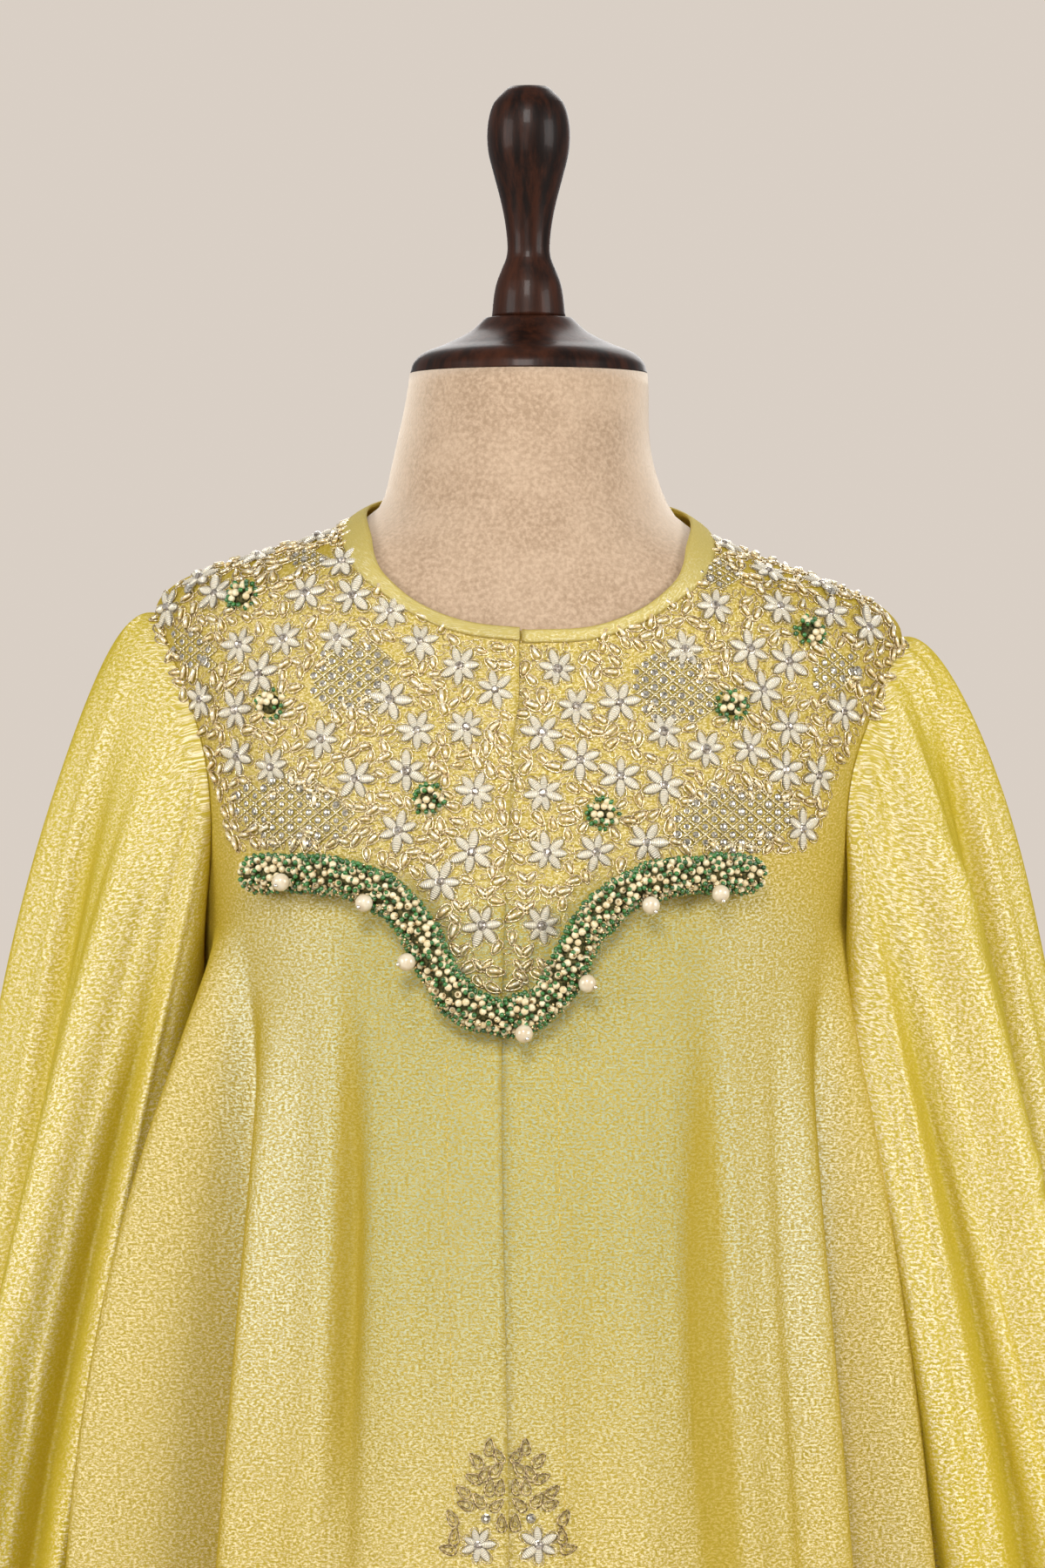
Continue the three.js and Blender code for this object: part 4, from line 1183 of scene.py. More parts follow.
# %% [markdown]
# The first rule sews a motif at each place. A place is a point that carries two directions: outward,
# which the motif's Z axis follows, and along, which its X axis follows. It also carries a share of
# the motif's size, and the rule makes each copy a little larger or smaller, as hand work is.

# %% The rule for sewing at places
def sewing_rule():
    sizes = {"Motif": "Object", "Size": "Float", "Unevenness": "Float", "Finish": "Material"}
    rule = Rule("sewn_at_places", sizes)
    outward = rule.attribute("outward", "FLOAT_VECTOR")
    along = rule.attribute("along", "FLOAT_VECTOR")
    upright = rule.add("FunctionNodeAlignRotationToVector", {"axis": "Z"}, {"Vector": outward})
    facing = rule.add(
        "FunctionNodeAlignRotationToVector",
        {"axis": "X", "pivot_axis": "Z"},
        {"Rotation": upright, "Vector": along},
    )
    size = rule.times(rule.uneven_size(11), rule.attribute("share"))
    sockets = {"Points": rule.given["Start"], "Instance": rule.motif(), "Rotation": facing}
    sockets["Scale"] = size
    rule.finish(rule.add("GeometryNodeInstanceOnPoints", None, sockets))
    return rule


sew = sewing_rule()


def places_object(places):
    """A start mesh: one vertex for each place (point, outward, along, share)"""
    mesh = bpy.data.meshes.new("places")
    mesh.from_pydata([tuple(p * MM) for p, _, _, _ in places], [], [])
    for k, name in ((1, "outward"), (2, "along")):
        layer = mesh.attributes.new(name, "FLOAT_VECTOR", "POINT")
        layer.data.foreach_set("vector", np.array([place[k] for place in places]).ravel())
    return point_layer(added("places", mesh), "share", [place[3] for place in places])


def sewn(name, motif, places, finish, unevenness=0.06):
    """One piece with a motif at every place"""
    values = {"motif": motif, "size": 1.0, "unevenness": unevenness, "finish": finish}
    return sew.make(name, places_object(places), **values)


# %% [markdown]
# The motifs themselves have few faces, because some are sewn hundreds of times. A petal is a domed
# blade of thin metal. A bugle is a short cut tube of glass. A wire loop is couched round each bugle,
# and a stone is a faceted crown in a cup. X runs along the motif and Z away from the cloth.

# %% Motifs
def motif_object(name, points, faces, uvs=None, flat=False):
    """A mesh that isn't in the scene itself, only in the rules"""
    piece = mesh_object(name, points, faces, wire_finish, uvs)
    if flat:
        piece.data.shade_flat()
    bpy.context.scene.collection.objects.unlink(piece)
    return piece


def tube_motif(name, sections, sides, ends=True, closed=False, flat=False):
    """A tube through sections: (centre, radius, direction across, direction up)"""
    points = []
    for centre, radius, across, up in sections:
        for k in range(sides):
            turn = 2 * math.pi * (k + 0.5) / sides
            offset = np.array(across) * math.cos(turn) + np.array(up) * math.sin(turn)
            points.append(np.array(centre, float) + radius * offset)
    count = len(sections)
    faces = []
    uvs = []
    for r in range(count if closed else count - 1):
        for k in range(sides):
            n = (k + 1) % sides
            low = r * sides
            high = ((r + 1) % count) * sides
            faces.append([low + k, low + n, high + n, high + k])
            uvs.append([(k, r), (k + 1, r), (k + 1, r + 1), (k, r + 1)])
    if ends:
        faces.append(list(range(sides))[::-1])
        faces.append([(count - 1) * sides + k for k in range(sides)])
        uvs.append([(0, 0)] * sides)
        uvs.append([(0, 0)] * sides)
    return motif_object(name, points, faces, uvs, flat)


def bugle_motif(name, length, radius, sides):
    half = length / 2
    sections = [
        ((x, 0, radius), r, (0, 1, 0), (0, 0, 1))
        for x, r in ((-half, 0.6 * radius), (0.2 - half, radius), (half - 0.2, radius), (half, 0.6 * radius))
    ]
    return tube_motif(name, sections, sides)


def petal_motif(length, width, height, count=7, across=6):
    """A domed blade from the flower's middle outwards, with attributes for its ribs"""
    points = []
    ribs = []
    sides = []
    faces = []
    for i in range(count + 1):
        t = i / count
        half = width / 2 * max(math.sin(math.pi * t**0.85), 0.0) ** 0.5 + 0.12
        for j in range(across + 1):
            turn = math.pi * j / across
            rise = height * math.sin(math.pi * min(0.12 + 0.8 * t, 1)) ** 0.6
            points.append((1.4 + length * t, -half * math.cos(turn), rise * math.sin(turn)))
            ribs.append(length * t)
            sides.append(abs(math.cos(turn)))
    for i in range(count):
        for j in range(across):
            a = i * (across + 1) + j
            faces.append([a, a + across + 1, a + across + 2, a + 1])
    piece = point_layer(motif_object("petal", points, faces), "rib", ribs)
    return point_layer(piece, "side", sides)


def loop_motif(name, length, width, radius, steps=12):
    """Coiled wire couched in a loop that is pointed at one end"""
    sections = []
    for i in range(steps):
        turn = 2 * math.pi * i / steps
        x = length / 2 * math.cos(turn)
        y = width / 2 * math.sin(turn) * (1 - 0.45 * math.cos(turn))
        out = np.array([math.cos(turn) * width, math.sin(turn) * length, 0])
        sections.append(((x, y, radius * 0.8), radius, out / np.linalg.norm(out), (0, 0, 1)))
    return tube_motif(name, sections, 4, ends=False, closed=True)


def stone_motif(name, radius, height, sides=8):
    sections = [
        ((0, 0, z * height), r * radius, (1, 0, 0), (0, 1, 0))
        for z, r in ((0, 1.15), (0.45, 1.15), (0.5, 0.95), (0.8, 0.72), (1, 0.38))
    ]
    return tube_motif(name, sections, sides, flat=True)


def bead_motif(name, radius, sides=8, rows=4, stretch=1.0):
    """A round bead that sits on the cloth"""
    sections = []
    for i in range(rows + 1):
        turn = math.pi * (0.14 + 0.72 * i / rows)
        z = radius * stretch * (1 - math.cos(turn))
        sections.append(((0, 0, z), radius * math.sin(turn), (1, 0, 0), (0, 1, 0)))
    return tube_motif(name, sections, sides)


petal = petal_motif(8.4, 4.4, 1.7)
bugle = bugle_motif("bugle", 5.4, 1.0, 7)
cut_bead = bugle_motif("cut_bead", 1.9, 0.5, 6)
wire_loop = loop_motif("wire_loop", 8.4, 4.5, 0.46)
petal_loop = loop_motif("petal_loop", 10.0, 5.2, 0.26, 12)
stone = stone_motif("stone", 1.45, 1.6)
large_stone = stone_motif("large_stone", 1.9, 2.4, 9)
seed = bead_motif("seed", 1.75)
green_bead = bead_motif("green_bead", 1.2, 7, 3, 1.15)
tip_bead = bead_motif("tip_bead", 0.8, 6, 2)
print("petal:", len(petal.data.polygons), "faces, loop:", len(wire_loop.data.polygons))

# %% [markdown]
# Motifs are laid out in garment coordinates: how far across from the middle, and how high. Each place
# is then found on the cloth, with the cloth's own outward direction, so the work lies on the shoulder
# slope as it does on the chest. A spot is four vectors: a point, outward, rightward and upward.

# %% Spots on the cloth
def front_point(x, z):
    """The outside of the fronts, the upper one lifted, at distances from the middle and heights"""
    x, z = np.broadcast_arrays(np.asarray(x, float), np.asarray(z, float))
    angle = angle_across(x, z)
    inward = in_from_edge(angle, z)
    over = np.where(inward > 0, lap_lift(inward), 0)
    return body_point(angle, z, over)


def unit(vectors):
    return vectors / np.linalg.norm(vectors, axis=-1, keepdims=True)


def spots_at(x, z):
    """Spots at many places at once, and how much longer the cloth is than its height there"""
    centre = front_point(x, z)
    right = front_point(x + 1.5, z) - front_point(x - 1.5, z)
    rise = front_point(x, z + 1.5) - front_point(x, z - 1.5)
    outward = unit(np.cross(right, rise))
    right = unit(right)
    spots = np.stack([centre, outward, right, np.cross(outward, right)], -2)
    return spots, np.linalg.norm(rise, axis=-1) / 3


def spot_at(x, z):
    return spots_at(np.array([float(x)]), np.array([float(z)]))[0][0]


def place_on(spot, heading=0.0, share=1.0, lift=0.0, ahead=0.0, aside=0.0):
    """heading is in degrees, from rightward towards upward; ahead and aside shift the place"""
    centre, outward, right, upward = spot
    turn = heading * DEGREE
    along = right * math.cos(turn) + upward * math.sin(turn)
    beside = upward * math.cos(turn) - right * math.sin(turn)
    return (centre + outward * lift + along * ahead + beside * aside, outward, along, share)


MIDDLE = -8
# Each row: height, and how far from the middle the worked yoke reaches there
YOKE_SIDE = np.array([
    (1240, 133), (1262, 138), (1287, 146), (1311, 157), (1329, 166), (1345, 174), (1366, 182),
])
# The bead border, one half: distance from its point, and the height above it
BORDER_CENTRE = -11
BORDER_LOW = 1176
BORDER_HALF = np.array([
    (0, 0), (18, 7), (29, 24), (36, 39), (50, 53), (68, 62), (90, 65), (113, 65),
])


def border_height(x):
    return BORDER_LOW + curve(BORDER_HALF[:, 0], BORDER_HALF[:, 1], np.abs(x - BORDER_CENTRE))


def yoke_room(x, z):
    """How far places are inside the worked area, in millimetres. Outside, it is negative."""
    angle = angle_across(x, z)
    half = cloth_section(z)[0]
    under_neck = (neck_height(angle) - z) * np.where(z > 1352, 2.2, 1.15) - 7.5
    level = np.clip((z - ARMHOLE_MIDDLE) / ARMHOLE_HALF_HEIGHT, -1, 1)
    seam = 90 - ARMHOLE_HALF_ANGLE * np.sqrt(1 - level**2)
    inside_seam = (seam - np.abs(angle)) * 2.4 - 2.5
    inside_side = curve(YOKE_SIDE[:, 0], YOKE_SIDE[:, 1], z) - np.abs(x - MIDDLE * 0.4)
    slope = border_height(x + 1) - border_height(x - 1)
    above_border = (z - border_height(x)) / np.hypot(1, slope / 2) - 10.5
    on_cloth = (0.985 * half - np.abs(x)) * 2
    return np.min([under_neck, inside_seam, inside_side, above_border, on_cloth], axis=0)


def from_edge(x, z):
    """Distance from the centre front edge"""
    return x - front_edge(z)


rng = np.random.default_rng(41)
taken_points = []
taken_rooms = []


def take(point, room):
    """Keeps later work away from a point"""
    taken_points.append(point)
    taken_rooms.append(room)


def is_free(point, radius):
    if not taken_points:
        return True
    gaps = np.linalg.norm(np.array(taken_points) - point, axis=1)
    return bool(np.all(gaps >= radius + np.array(taken_rooms)))


print("room on the yoke:", yoke_room(np.array([60.0, 150.0]), np.array([1300.0, 1340.0])).round(1), "mm")

# %% [markdown]
# Lattice patches come first: two sets of cut beads cross in diamonds, and a stone sits in each diamond.
# The patches are drawn as pointed ovals, one side the mirror of the other.

# %% Lattice patches
# Each row: distance from the middle, height, half width, half height, tilt in degrees
PATCHES = [
    (74, 1329, 23, 17, -28), (101, 1268, 30, 17, 10), (149, 1340, 15, 11, 30), (96, 1383, 12, 9, -30),
]
LATTICE_WIDE = 8.4
LATTICE_HIGH = 7.2
LATTICE_REACH = range(-12, 13)
lattice_beads = []
lattice_stones = []


def lattice_patch(x, z, half_across, half_up, tilt):
    """Lays the diamonds that are inside the oval and on the yoke, and keeps flowers off them"""
    turn = tilt * DEGREE
    middle, stretch = spots_at(np.array([x]), np.array([z]))
    take(middle[0][0], 0.62 * half_up)
    for end in (-0.6, 0.6):
        side = spot_at(x + end * half_across, z + end * half_across * math.tan(turn))
        take(side[0], 0.5 * half_up)
    heading = math.degrees(math.atan2(LATTICE_HIGH, LATTICE_WIDE))
    wanted = []
    for i in LATTICE_REACH:
        for j in LATTICE_REACH:
            a = (i + j) * LATTICE_WIDE / 2
            b = (i - j) * LATTICE_HIGH / 2
            across = a * math.cos(turn) + b * math.sin(turn)
            up = b * math.cos(turn) - a * math.sin(turn)
            if abs(up) >= max(1 - (across / half_across) ** 2, 0) * half_up:
                continue
            wanted.append((a, b, 0, True))
            for way in (-1, 1):
                for t in (-0.33, 0.0, 0.33):
                    da = LATTICE_WIDE * (0.25 + t / 2)
                    db = -way * LATTICE_HIGH * (0.25 - t / 2)
                    wanted.append((a + da, b + db, way * heading, False))
    a, b, headings, is_stone = np.array(wanted, float).T
    spots, _ = spots_at(x + a, z + b / stretch)
    rooms = yoke_room(x + a, z + b / stretch)
    for spot, heading, stone_here, room in zip(spots, headings, is_stone, rooms):
        if room < 0:
            continue
        if stone_here:
            lattice_stones.append(place_on(spot, 0, rng.uniform(0.85, 1.1), 0.1))
        else:
            lattice_beads.append(place_on(spot, heading))


for distance, z, half_across, half_up, tilt in PATCHES:
    lattice_patch(MIDDLE + distance, z, half_across, half_up, tilt)
    lattice_patch(MIDDLE - distance, z + 0.5, half_across, half_up, -tilt)
print("lattice:", len(lattice_stones), "stones,", len(lattice_beads), "cut beads")

# %% [markdown]
# Flowers have six or seven petals round a stone. They are scattered, but never closer than they are
# wide: a new place is kept only where nothing is near. Its mirror image is tried too, a little off, as
# the two halves of hand work always are, and more places follow on the left where there is still room.

# %% Flowers
TUFTS = [(-133, 1366), (-119, 1316), (-45, 1275), (34, 1270), (93, 1322), (130, 1358)]
PETAL_MIDDLE = 5.7
FLOWER_ROOM = 9.4
petals = []
hearts = []
petal_outlines = []
flower_points = []
for x, z in TUFTS:
    take(spot_at(x, z)[0], 6.0)


def flower(spot, share=1.0):
    """Six or seven petals with their outlines round a stone"""
    count = 7 if rng.random() < 0.25 else 6
    start = rng.uniform(0, 60)
    for k in range(count):
        heading = start + 360 * k / count + rng.uniform(-7, 7)
        size = share * rng.uniform(0.9, 1.08) * (0.92 if count == 7 else 1)
        petals.append(place_on(spot, heading, size, 0.2))
        petal_outlines.append(place_on(spot, heading + 180, size, 0, ahead=-PETAL_MIDDLE * size))
    hearts.append(place_on(spot, start, share * rng.uniform(0.85, 1.1), 0.3))
    flower_points.append(spot[0])
    take(spot[0], FLOWER_ROOM * share)


def fill_both_halves(tries, radius, room, sew_on):
    """Tries places on the right, their mirror images, and then more on the left alone.

    radius is the distance to other work, and room the distance to the yoke's edge.
    """
    angle = rng.uniform(-3, 89, tries)
    top = neck_height(angle)
    z = top - rng.uniform(0, 1, tries) * (top - 1186)
    right = on_section(cloth_section(z), angle, z)[:, 0]
    left = 2 * MIDDLE - right + rng.uniform(-2, 2, tries)
    made = 0
    x = np.concatenate([np.stack([right, left], 1).ravel(), -right])
    z = np.concatenate([np.repeat(z, 2), z])
    own_side = np.concatenate([np.tile((1, -1), tries), np.full(tries, -1)])
    inside = (yoke_room(x, z) > room) & (from_edge(x, z) * own_side > room + 0.3)
    spots, _ = spots_at(x[inside], z[inside])
    for spot in spots:
        if is_free(spot[0], radius):
            sew_on(spot)
            made += 1
    return made


flowers_made = fill_both_halves(2600, 9.8, 8.0, flower)
print("flowers:", flowers_made, "petals:", len(petals))

# %% [markdown]
# Everything between the flowers is filled with leaves: a wire loop with a bugle bead inside. Beside the
# opening they stand in pairs like the barbs of a feather, and elsewhere they turn round the flowers.

# %% Leaves and filling
loops = []
bugles = []
curls = []


def leaf(spot, heading, share=1.0, aside=0.0):
    """A wire loop with a bugle bead inside"""
    loops.append(place_on(spot, heading, share, 0, 0, aside))
    bugles.append(place_on(spot, heading + rng.uniform(-6, 6), share, 0.25, 0, aside))


def leaf_by_flower(spot):
    """A leaf turned aside from the direction of the nearest flower"""
    centre, _, right, upward = spot
    gaps = np.linalg.norm(np.array(flower_points) - centre, axis=1)
    away = centre - flower_points[int(gaps.argmin())]
    heading = math.degrees(math.atan2(away @ upward, away @ right))
    side = 1 if rng.random() < 0.5 else -1
    leaf(spot, heading + side * rng.uniform(20, 75), rng.uniform(0.82, 1.08))
    take(centre, 2.6)


# Two feathered columns on each side: distance from the edge, and height of the first pair of barbs
FEATHERS = ((9.0, 1262), (19.5, 1256))
FEATHER_STEP = 6.6
for side in (-1, 1):
    for column, start in FEATHERS:
        for step in range(10):
            z = start - FEATHER_STEP * step
            spot = spot_at(float(front_edge(z)) + side * column, z)
            x = spot[0][0]
            if yoke_room(np.array([x]), np.array([z]))[0] < 2 or not is_free(spot[0], 2.6):
                continue
            for barb in (-1, 1):
                leaf(spot, 90 - barb * 42, 0.84, -barb * 2.6)
            take(spot[0], 3.9)

leaves_made = fill_both_halves(16000, 2.65, 2.2, leaf_by_flower)


def curl(spot):
    curls.append(place_on(spot, rng.uniform(0, 360), rng.uniform(0.42, 0.6)))
    take(spot[0], 1.5)


curls_made = fill_both_halves(9000, 1.6, 1.2, curl)
print("leaves:", leaves_made, "small curls of wire:", curls_made)

# %% [markdown]
# Lower down, a narrow branch grows on each side of the opening. It begins where a plain stretch has
# been long enough, with leaves, then flowers, and goes on below the picture's edge.

# %% Branches beside the opening
# Each row: distance from the edge, height, heading in degrees
BRANCH_LEAVES = [
    (8, 984, 92), (14, 978, 48), (5, 974, 128), (15, 970, 22), (8, 966, 96), (13, 960, 52),
    (5, 958, 136), (25, 952, 58), (27, 938, 12), (4, 924, 262), (27, 924, -28), (18, 921, -64),
    (19, 958, 20), (4, 980, 60), (20, 964, 40), (3.5, 966, 100), (3, 950, 88), (10, 972, 120), (24, 944, 96),
    (34, 914, 36), (5, 908, 104), (37, 902, -8), (27, 900, 66), (5, 893, 254), (34, 888, -42),
    (17, 884, 88), (26, 880, -20), (6, 876, 100), (14, 870, 62), (22, 866, -8), (7, 862, 110),
    (15, 856, 40), (6, 850, 94), (12, 844, 60),
]
BRANCH_FLOWERS = [(13.5, 940), (16, 905)]
BRANCH_STONES = [(10, 952), (25, 892), (10, 882), (12, 851)]
single_stones = []
branch_loops = []
for side in (-1, 1):
    for distance, z in BRANCH_FLOWERS:
        flower(spot_at(front_edge(z) + side * distance, z), 0.92)
    for distance, z, heading in BRANCH_LEAVES:
        spot = spot_at(front_edge(z) + side * distance, z)
        if is_free(spot[0], 1.6):
            heading = heading if side > 0 else 180 - heading
            branch_loops.append(place_on(spot, heading, 0.95))
            branch_loops.append(place_on(spot, heading, 0.5, 0.2))
    for distance, z in BRANCH_STONES:
        single_stones.append(place_on(spot_at(front_edge(z) + side * distance, z)))

# A few single stones stand proud along the shoulder
for x, z in [(-158, 1368), (140, 1376), (152, 1340), (-150, 1335)]:
    single_stones.append(place_on(spot_at(x, z), 0, 1.15, 0.6))

# %% [markdown]
# At the shoulder the work runs on over the seam, onto the head of the sleeve, so the seam is hidden
# there. These spots are found on the sleeve, by degrees round it and the share of the way down.

# %% Over the shoulder seam
def sleeve_spots(side, around, t):
    """Spots on the sleeve's head"""

    def at(turn, down):
        return sleeve_line(side, turn % 360, down)

    centre = at(around, t)
    across = at(around + 2, t) - at(around - 2, t)
    down = at(around, t + 0.01) - centre
    outward = unit(side * np.cross(across, down))
    right = unit(np.cross(-down, outward))
    return np.stack([centre, outward, right, np.cross(outward, right)], -2)


for side in (-1, 1):
    around = rng.uniform(16, 62, 700)
    t = rng.uniform(0, 0.009, 700)
    spots = sleeve_spots(side, around, t)
    for spot in spots[:60]:
        if is_free(spot[0], 9.0):
            flower(spot, 0.95)
    for spot in spots:
        if is_free(spot[0], 2.4):
            leaf_by_flower(spot)
print("with the shoulders:", len(petals), "petals,", len(loops), "leaves")

worked = {
    "petals": sewn("petals", petal, petals, petal_finish),
    "petal_outlines": sewn("petal_outlines", petal_loop, petal_outlines, wire_finish),
    "flower_stones": sewn("flower_stones", large_stone, hearts, heart_finish),
    "wire_loops": sewn("wire_loops", wire_loop, loops, wire_finish),
    "branch_loops": sewn("branch_loops", wire_loop, branch_loops, aged_finish),
    "bugle_beads": sewn("bugle_beads", bugle, bugles, bugle_finish),
    "lattice_beads": sewn("lattice_beads", cut_bead, lattice_beads, lattice_finish),
    "lattice_stones": sewn("lattice_stones", stone, lattice_stones, stone_finish, 0.12),
    "wire_curls": sewn("wire_curls", wire_loop, curls, wire_finish, 0.12),
    "single_stones": sewn("single_stones", large_stone, single_stones, stone_finish),
}

# %% [markdown]
# The border is a rope of beads. Its core is a tube that follows the yoke's lower edge, a little uneven,
# as padding is. A second rule scatters beads over a surface: no two are closer than the spacing, and an
# attribute of the surface says where they may be at all.

# %% The rule for beading a surface
TRIES_PER_SQUARE_METRE = 900000.0


def beading_rule():
    sizes = {"Motif": "Object", "Spacing": "Float", "Size": "Float", "Unevenness": "Float"}
    rule = Rule("beaded_surface", {**sizes, "Seed": "Int", "Finish": "Material"})
    scatter = {
        "Mesh": rule.given["Start"],
        "Distance Min": rule.given["Spacing"],
        "Density Max": TRIES_PER_SQUARE_METRE,
        "Density Factor": rule.attribute("cover"),
        "Seed": rule.given["Seed"],
    }
    points = rule.add("GeometryNodeDistributePointsOnFaces", {"distribute_method": "POISSON"}, scatter)
    sockets = {"Points": points, "Instance": rule.motif(), "Scale": rule.uneven_size(5)}
    sockets["Rotation"] = rule.same(points, "Rotation")
    rule.finish(rule.add("GeometryNodeInstanceOnPoints", None, sockets))
    return rule


bead_over = beading_rule()


def beaded(name, surface, motif, spacing, finish, seed_number, unevenness=0.08):
    """One piece of beads over a surface, which is used up"""
    values = {"motif": motif, "spacing": spacing * MM, "size": 1.0, "unevenness": unevenness}
    return bead_over.make(name, surface, seed=seed_number, finish=finish, **values)


# %% [markdown]
# The rope itself. Seed pearls lie against the core, green glass beads stand between them, mostly along
# both edges, and small gold tips end the rows below.

# %% The rope
BORDER_LIFT = 8.2


def border_frames(count):
    """Points along the border's middle, with the directions along, outward and upward"""
    at = np.linspace(-113, 113, count)
    x = BORDER_CENTRE + at
    spots, _ = spots_at(x, border_height(x))
    centre = spots[:, 0] + spots[:, 1] * BORDER_LIFT
    along = unit(np.gradient(centre, axis=0))
    outward = spots[:, 1]
    outward = unit(outward - along * np.sum(outward * along, 1, keepdims=True))
    return centre, along, outward, np.cross(outward, along)


def rope_surface(name, radius, cover_of, count=120, sides=20):
    """The rope's surface. cover_of gives the cover from how far up and how far out a point faces."""
    centre, along, outward, upward = border_frames(count)
    travel = np.concatenate([[0], np.cumsum(np.linalg.norm(np.diff(centre, axis=0), axis=1))])
    turn = full_turn(sides)
    end = (1 - np.minimum(travel, travel[::-1]) / radius).clip(0)
    rounding = np.sqrt(np.clip(1 - end**2, 0.02, 1))
    swell = 1 + 0.06 * np.sin(travel / 5.1) + 0.05 * np.sin(travel / 2.3 + 1)
    size = (radius * rounding * swell)[:, None, None]
    out = np.cos(turn)[None, :, None]
    up = np.sin(turn)[None, :, None]
    around = outward[:, None] * out + upward[:, None] * up
    rows = centre[:, None] + around * size
    piece = capped(grid_object(name, rows, core_finish, closed=True), sides)
    cover = np.clip(cover_of(np.sin(turn), np.cos(turn)), 0, 1)
    return point_layer(piece, "cover", np.broadcast_to(cover, (count, sides)))


centre, along, outward, upward = border_frames(9)
print("rightward, outward, upward at the point:", along[4].round(2), outward[4].round(2), upward[4].round(2))


def facing_out(up, out):
    return smooth((out + 0.75) / 0.3)


def mostly_at_edges(up, out):
    return facing_out(up, out) * (0.4 + 0.6 * np.abs(up) ** 1.5)


def mostly_below(up, out):
    return facing_out(up, out) * (0.2 + 0.8 * smooth(0.2 - up))


rope_core = rope_surface("rope_core", 6.2, facing_out)
pearl_ground = rope_surface("on", 5.3, facing_out)
green_ground = rope_surface("on", 6.9, mostly_at_edges)
tip_ground = rope_surface("on", 8.0, mostly_below)
rope_parts = [
    rope_core,
    beaded("rope_pearls", pearl_ground, seed, 2.75, pearl_finish, 3, 0.12),
    beaded("rope_green", green_ground, green_bead, 2.25, green_finish, 8, 0.12),
    beaded("rope_tips", tip_ground, tip_bead, 2.6, tip_finish, 12),
]

# %% [markdown]
# Seven larger pearls hang from the rope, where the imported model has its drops. Each has a gold cup where
# it meets the rope and a tiny silver bead that holds the thread at its far end.

# %% Hanging pearls
PEARL_RADIUS = 4.1
ROPE_REACH = 7.8
# Each row: distance from the border's middle, and how far forward the pearl hangs, in degrees
PEARLS = [(-92, 65), (-55, 50), (-31, 40), (0, 46), (27, 25), (59, 32), (92, 35)]
large_pearl = bead_motif("large_pearl", PEARL_RADIUS, 20, 12)
cup = bead_motif("cup", 2.3, 10, 4, 0.5)
end_bead = bead_motif("end_bead", 0.95, 9, 5)
pearl_places = []
cup_places = []
end_places = []
for distance, forward in PEARLS:
    x = BORDER_CENTRE + distance
    spot = spot_at(x, border_height(x))
    before = spot_at(x - 1, border_height(x - 1))
    after = spot_at(x + 1, border_height(x + 1))
    rightward = unit(after[0] - before[0])
    rise = np.cross(spot[1], rightward)
    reach = spot[1] * math.sin(forward * DEGREE) - rise * math.cos(forward * DEGREE)
    middle = spot[0] + spot[1] * BORDER_LIFT
    foot = middle + reach * ROPE_REACH
    cup_places.append((foot - reach * 0.4, reach, rightward, 1.0))
    pearl_places.append((foot + reach * 0.3, reach, rightward, 1.0))
    end_places.append((foot + reach * (2 * PEARL_RADIUS - 0.2), reach, rightward, 1.0))
drops = [
    sewn("hanging_pearls", large_pearl, pearl_places, pearl_colour_and_shade_finish, 0.02),
    sewn("pearl_cups", cup, cup_places, tip_finish),
    sewn("pearl_ends", end_bead, end_places, silver_finish),
]

# %% [markdown]
# Six small tufts stand on the yoke: a few seed pearls in the middle and green beads round them. Their
# padding is a low dome, and the same rule beads it.

# %% Tufts
TUFT_RADIUS = 6.2
TUFT_HEIGHT = 4.2
TUFT_RINGS = 5


def tuft_surface(name, scale, cover_of, sides=14):
    """All six domes as one mesh"""
    points = []
    faces = []
    covers = []
    for x, z in TUFTS:
        spot = spot_at(x, z)
        first = len(points)
        for ring in range(TUFT_RINGS + 1):
            rise = math.pi / 2 * ring / (TUFT_RINGS + 0.4)
            for k in range(sides):
                turn = 2 * math.pi * k / sides
                flat = spot[2] * math.cos(turn) + spot[3] * math.sin(turn)
                out = TUFT_RADIUS * scale * math.cos(rise)
                up = TUFT_HEIGHT * scale * math.sin(rise) - 0.3
                points.append(spot[0] + flat * out + spot[1] * up)
                covers.append(cover_of(ring / TUFT_RINGS))
        for ring in range(TUFT_RINGS):
            for k in range(sides):
                n = (k + 1) % sides
                a = first + ring * sides
                faces.append([a + k, a + n, a + sides + n, a + sides + k])
        faces.append([first + TUFT_RINGS * sides + k for k in range(sides)])
        faces.append([first + k for k in range(sides)][::-1])
    piece = mesh_object(name, points, faces, core_finish)
    return point_layer(piece, "cover", np.clip(covers, 0, 1))


def everywhere(up):
    return 1.0


def mostly_on_top(up):
    return 0.5 + 0.5 * up


def mostly_round(up):
    return 0.9 - 0.72 * up


tuft_core = tuft_surface("tuft_core", 0.78, everywhere)
tuft_top = tuft_surface("on", 0.76, mostly_on_top)
tuft_round = tuft_surface("on", 1.0, mostly_round)
tufts = [
    tuft_core,
    beaded("tuft_pearls", tuft_top, seed, 2.1, pearl_finish, 21),
    beaded("tuft_green", tuft_round, green_bead, 1.9, green_finish, 17),
]

# %% [markdown]
# The two front edges are stitched down below the yoke. A stitch is a short round of thread that dips
# into the cloth at both ends, and the same sewing rule lays one after another down each line.

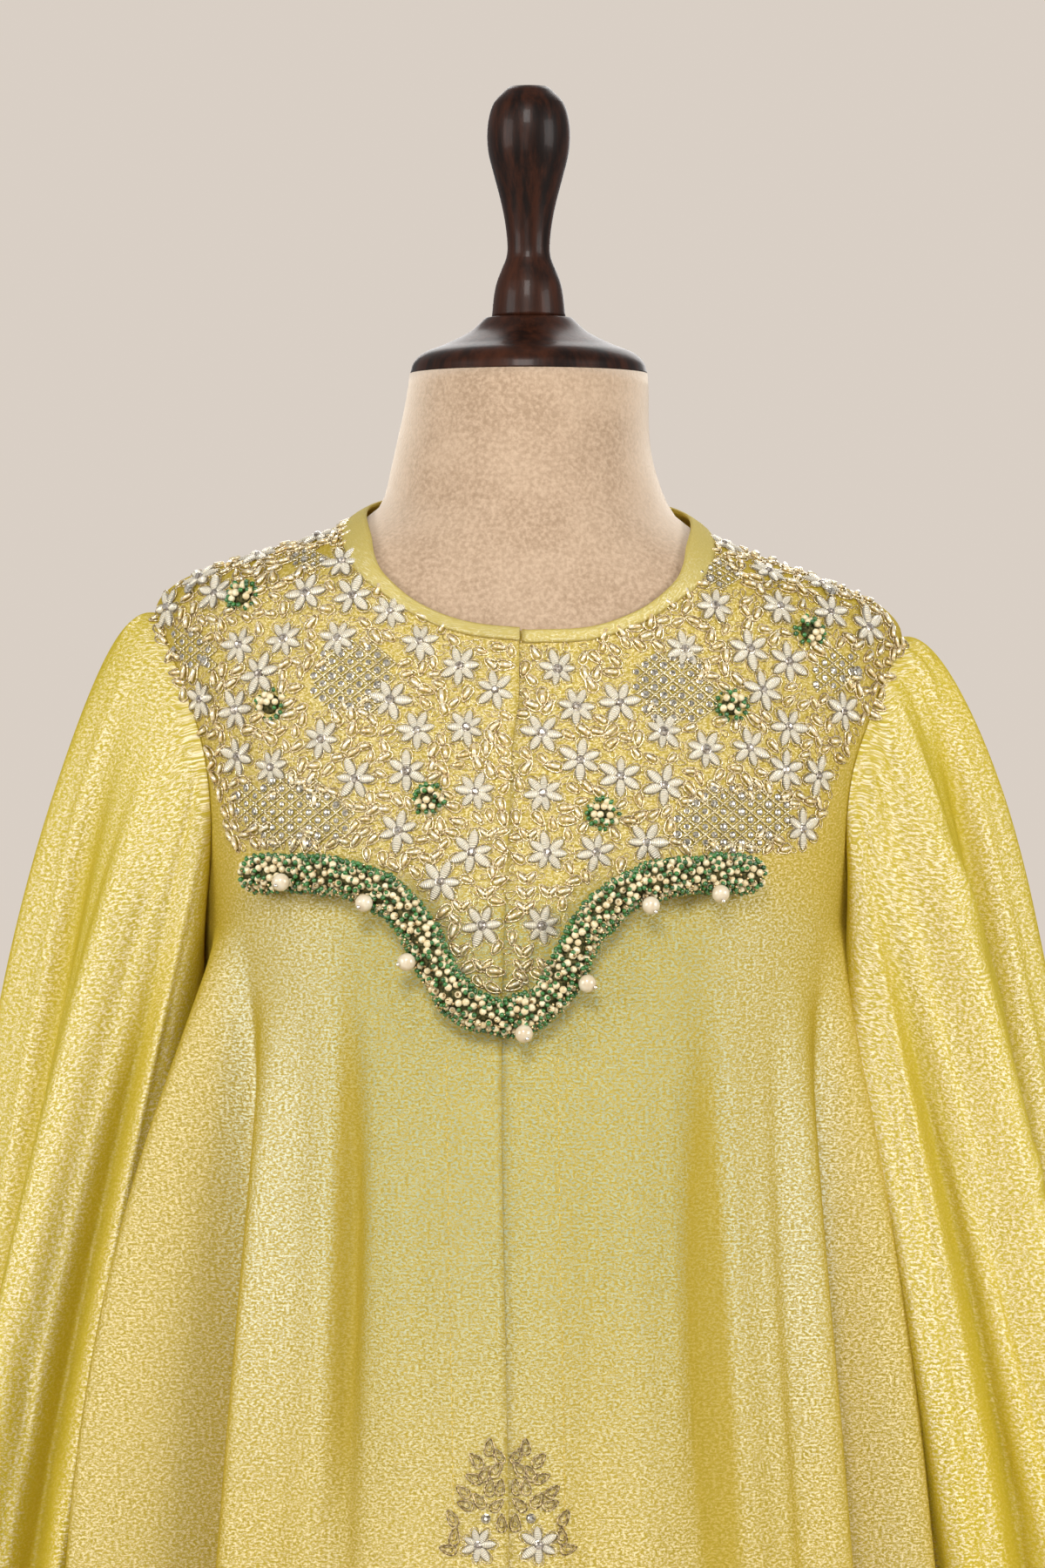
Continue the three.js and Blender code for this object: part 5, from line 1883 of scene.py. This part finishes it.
# %% Topstitching
STITCH_STEP = 3.9
stitch = bugle_motif("stitch", 2.7, 0.2, 5)
stitches = []
for side, distance in ((-1, 24.5), (1, 25.5)):
    heights = np.arange(1158, HEM + 14, -STITCH_STEP)
    x = front_edge(heights) + side * distance
    spots, _ = spots_at(x, heights)
    for spot, height, across in zip(spots, heights, x):
        if height > border_height(across) - 9:
            continue
        stitches.append(place_on(spot, 90, rng.uniform(0.94, 1.06), -0.12))
topstitching = sewn("topstitching", stitch, stitches, thread_finish, 0.03)

# %% [markdown]
# Every piece rides on the one body of the imported model, and the plain solids that a piece stands
# for are hidden. The rectangle that each sheet of cloth is cut from, and the cut's area, are printed,
# which is how a tailor would order it.
# The fronts are gores: narrow at the neck and wide at the hem, so their area is less than the
# rectangle that they are cut from.

# %% Riding and cuts
def dress(piece, slot, *nodes):
    if nodes:
        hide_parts(*nodes)
    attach(piece, "root")


dress(torso, "flocked_form", "form_torso")
dress(cap, "turned_wood", "neck_cap")
dress(finial, "turned_wood", "finial")
for node, piece in panels.items():
    dress(piece, "tissue_cloth", node)
for piece in rope_parts:
    dress(piece, "seed_beads", "bead_border")
for piece in drops:
    dress(piece, "pearl", *[f"pearl_drop_{k}" for k in range(1, 8)])
for piece in tufts:
    dress(piece, "seed_beads", *[f"bead_tuft_{k}" for k in range(1, 7)])
for piece in [*worked.values(), topstitching]:
    dress(piece, "seed_beads")

# Each row: width and length of the rectangle the piece is cut from, and the cut's own area
CUTS = {
    "front_left": ((0.60, 1.33), 0.52),
    "front_right": ((0.60, 1.33), 0.52),
    "back": ((1.16, 1.37), 1.05),
    "sleeve_left": ((0.60, 0.64), 0.30),
    "sleeve_right": ((0.60, 0.64), 0.30),
    "neck_binding": ((0.0125, 0.44), 0.0055),
}
for node, (flat, area) in CUTS.items():
    print(node, "cut", flat, "area", area)

# %% [markdown]
# The floor is a plain pale disc just under the stand. It ends before the camera would see it, because
# the picture is cut off at the hips.

# %% Floor
FLOOR_RADIUS = 3200
FLOOR_SIDES = 96
turn = full_turn(FLOOR_SIDES)
ring = [FLOOR_RADIUS * np.cos(turn), FLOOR_RADIUS * np.sin(turn), np.full(FLOOR_SIDES, -0.5)]
disc = np.stack(ring, -1)
ground = Finish("floor")
ground_tone = ground.noise(ground.place((3, 3, 3)), detail=2)
ground_tone = ground.mixed(ground_tone, (0.66, 0.62, 0.57), (0.70, 0.66, 0.61))
ground_finish = ground.done(ground.shader(ground_tone, 0.8))
floor = mesh_object("floor", disc, [list(range(FLOOR_SIDES))], ground_finish)
print("floor:", 2 * FLOOR_RADIUS * MM, "m across")
